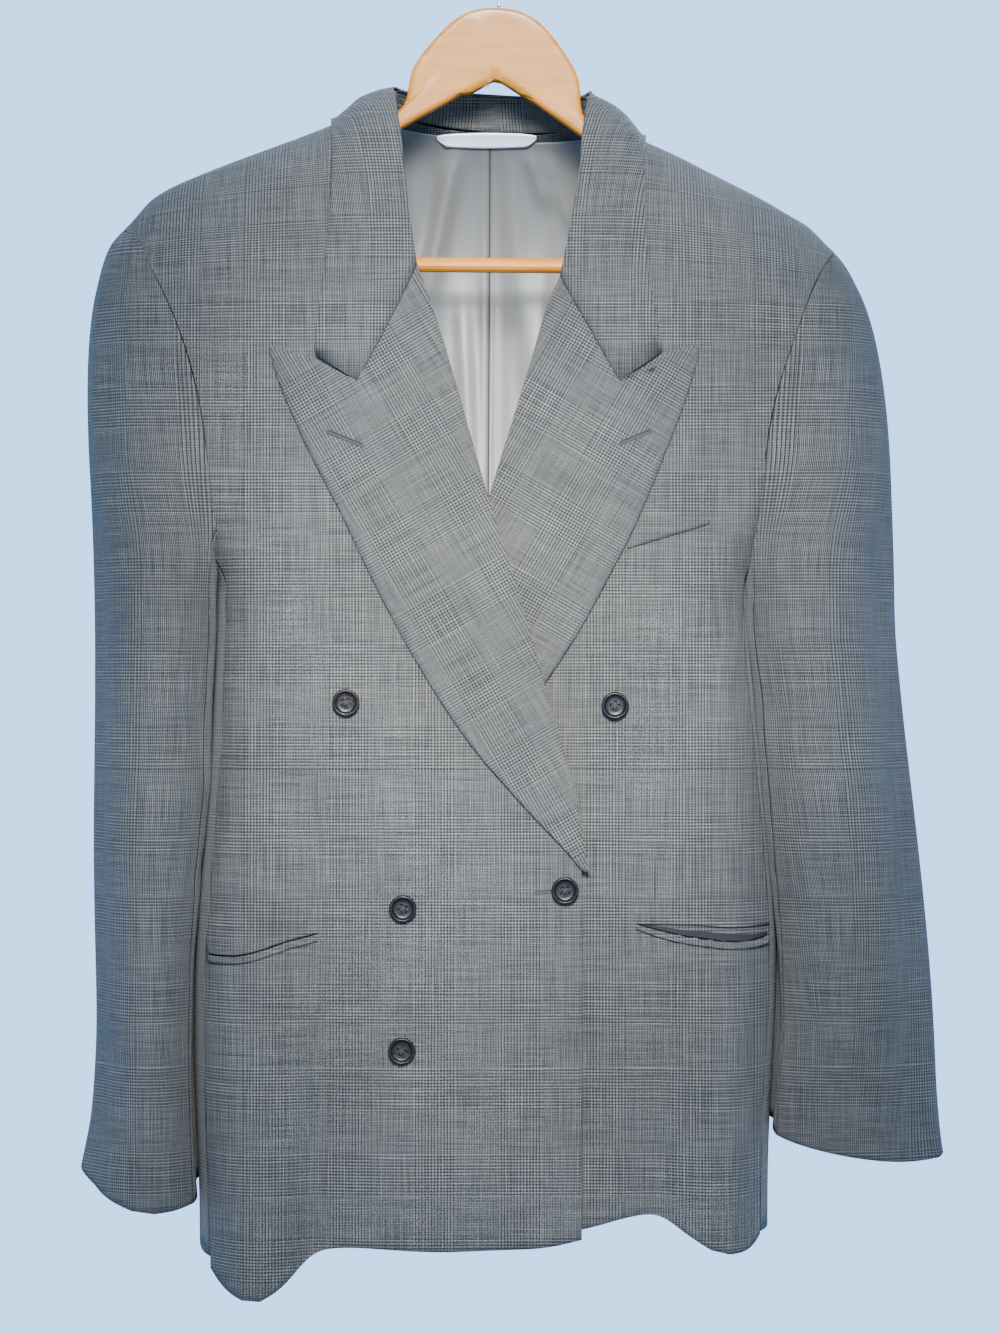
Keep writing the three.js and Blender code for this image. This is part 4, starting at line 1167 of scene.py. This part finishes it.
def mouth_line(name, piece, points, width, lift, material):
    """Painted shade: a dark band for the depth of a pocket above its lower lip, widest where it gapes.
    """
    rows = [(on_cloth(piece, x, z + width / 2 * share, lift),
             on_cloth(piece, x, z - width / 2 * share, lift)) for x, z, share in points]
    band(name, rows, material)


# x and z in mm, and the share of the full width there
MOUTH_LEFT = (
    (95, -685.6, 0.15), (104, -687.8, 0.5), (116, -691.0, 0.8), (128, -693.6, 1.0),
    (140, -695.2, 1.2), (152, -696.4, 1.2), (163, -696.9, 1.1), (173, -696.5, 0.9),
    (180, -694.9, 0.7), (183.5, -693.6, 0.5),
)
MOUTH_RIGHT = (
    (-197, -706.6, 1.6), (-190, -707.2, 1.5), (-182, -707.4, 1.3), (-172, -706.0, 1.0),
    (-160, -702.6, 0.8), (-148, -698.6, 0.7), (-136, -695.0, 0.6), (-124, -691.7, 0.3),
)
INSIDE_ABOVE = 2.0
MOUTH_LIFT = 0.7
INSIDE_LIFT = 0.62
# Painted shade: a near-black plain colour for the depth of both pocket mouths, and a dark one for the
# left pocket's shaded inside
DEEP_SHADE = plain_material("pocket_depth_painted_shade", (0.004, 0.004, 0.005, 1), Roughness=1.0,
                            Specular_IOR_Level=0.0)
POCKET_SHADE = plain_material("pocket_shade", (0.0105, 0.011, 0.0115, 1), Roughness=0.9,
                              Specular_IOR_Level=0.1)
mouth_line("pocket_mouth_left", CUT["front_left"][0], MOUTH_LEFT, 1.5, MOUTH_LIFT, DEEP_SHADE)
mouth_line("pocket_mouth_right", CUT["front_right"][0], MOUTH_RIGHT, 1.1, MOUTH_LIFT, DEEP_SHADE)
inside_left = [(x, z + INSIDE_ABOVE * share, share) for x, z, share in MOUTH_LEFT]
mouth_line("pocket_inside_left", CUT["front_left"][0], inside_left, 4.4, INSIDE_LIFT, POCKET_SHADE)

# The lining's centre seam leans a little: its place and half width in mm, and its lean
SEAM_X, SEAM_Z = -6.5, -160
SEAM_LEAN = 1.6 / 290
SEAM_HALF = 0.4
SEAM_LIFT = 0.4
rows = []
for z in range(-144, -470, -10):
    x = SEAM_X + SEAM_LEAN * (z - SEAM_Z)
    rows.append((on_cloth(CUT["lining_right"][0], x - SEAM_HALF, z, SEAM_LIFT),
                 on_cloth(CUT["lining_left"][0], x + SEAM_HALF, z, SEAM_LIFT)))
band("lining_seam", rows, SEAM_SHADE)

# The dart, in mm: its top, its run down from there, its half width, and its raised middle
DART_TOP, DART_RUN = Vector((106.9, -628)), Vector((-1.5, -52))
DART_STEPS = 20
DART_HALF = 0.55
DART_LIFT, DART_EDGE_LIFT = 0.16, 0.03
rows = []
for i in range(DART_STEPS + 1):
    x, z = DART_TOP + DART_RUN * i / DART_STEPS
    half = DART_HALF * min(1.0, 0.25 + 1.5 * min(i, DART_STEPS - i) / DART_STEPS)
    rows.append([on_cloth(CUT["front_left"][0], x + aside, z, lift) for aside, lift in (
        (-half, DART_EDGE_LIFT), (0, DART_LIFT), (half, DART_EDGE_LIFT))])
band("dart_left", rows, SEAM_SHADE)
print("pocket mouths, lining seam and dart laid on the cloth")

# %% [markdown]
# ## Hanger
# The round bar is right as it is and only gets its material. The wood and the hook are rounded
# by subdivision of a copy. Subdivision would round off the notch where the two arms meet under
# the neck, so the corner there is pinned, and the slopes beside it are drawn straight again.

# %% Hanger
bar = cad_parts["hanger_bar"]
bar.data.materials.clear()
bar.data.materials.append(BAR_WOOD)
NOTCH = Vector((-0.0018, 0, -0.1022))
NOTCH_REACH = 0.010
NOTCH_SLOPES = {"right": 0.55, "left": 0.64}
NOTCH_WIDTH = 0.022
NOTCH_DEPTH = 0.005


def in_notch(point):
    return (point - NOTCH).length < NOTCH_REACH


wood = smooth_wall("hanger_wood", "wood_hanger", 2, in_notch)
for vert in wood.data.vertices:
    off = vert.co.x - NOTCH.x
    edge_line = NOTCH.z - abs(off) * NOTCH_SLOPES["left" if off > 0 else "right"]
    if abs(off) < NOTCH_WIDTH and 0 < vert.co.z - edge_line < NOTCH_DEPTH:
        vert.co.z = edge_line
dress(wood, WOOD, "hanger_wood")
dress(smooth_wall("hanger_hook", "steel_hook", 2), STEEL, "hanger_hook")
print("hanger: wood, bar and hook")

# %% [markdown]
# ## Sizes of the cloth sheets
# Each cut piece is a sheet that hangs from the hanger. Its flat size comes from its grain map, and is
# printed with the piece's area; the small pocket trims are left out.
# Each cut piece is a sheet that hangs from the hanger. Its flat size comes from its grain map.

# %% Sheets
TRIMS = {
    "front_right": ("jet_upper_right", "jet_lower_right"),
    "front_left": ("jet_upper_left", "jet_lower_left", "breast_welt"),
}
small = {name for names in TRIMS.values() for name in names}
for name, (piece, size) in CUT.items():
    if name in small:
        continue
    declare_sheet(piece, size)
declare_sheet(label, label_size)

# %% [markdown]
# ## Floor and light
# A tall window stands before the jacket, a little above it. Its light and a small lamp's spread
# narrowly, so the fronts are brighter than the sleeves. A weak fill comes from the right and a
# warm light from behind. The room is blue, which cools the shaded cloth.

# %% Floor and light
FLOOR_Z = -1.5
floor_bm = bmesh.new()
bmesh.ops.create_circle(floor_bm, cap_ends=True, segments=96, radius=2.0,
                        matrix=Matrix.Translation((0, 0, FLOOR_Z)))
floor = finish_mesh(floor_bm, "floor")
floor.data.materials.append(plain_material("floor", (0.72, 0.74, 0.78, 1), Roughness=0.8))


def soft_light(name, place, target, size, power, color, spread=180, height=None):
    """A round light that looks at its target, or a rectangular one where it has a height."""
    data = bpy.data.lights.new(name, "AREA")
    data.shape = "RECTANGLE" if height else "DISK"
    data.size = size
    if height:
        data.size_y = height
    data.energy = power
    data.color = color
    data.spread = math.radians(spread)
    light = bpy.data.objects.new(name, data)
    bpy.context.collection.objects.link(light)
    light.location = place
    light.rotation_euler = (Vector(target) - Vector(place)).to_track_quat("-Z", "Y").to_euler()


soft_light("window", (0, -1.5, 0.28), (0, -0.06, -0.48), 0.45, 9.5, (0.99, 0.99, 1.0), 28, 1.1)
soft_light("lamp", (0.02, -1.5, 0.12), (0, -0.06, -0.46), 0.35, 2.3, (0.98, 0.99, 1.0), 20)
soft_light("fill", (1.9, -1.8, -0.2), (0, 0, -0.5), 1.8, 4, (0.90, 0.95, 1.0))
soft_light("behind", (0.5, 2.6, 0.5), (0, 0, -0.45), 1.6, 62, (1.0, 0.90, 0.76))

world = bpy.data.worlds.new("blue_room")
world.use_nodes = True
room_color, room_strength = world.node_tree.nodes["Background"].inputs[:2]
room_color.default_value = (0.32, 0.58, 1.0, 1)
room_strength.default_value = 3.0
bpy.context.scene.world = world
print("lights:", len(bpy.data.lights))
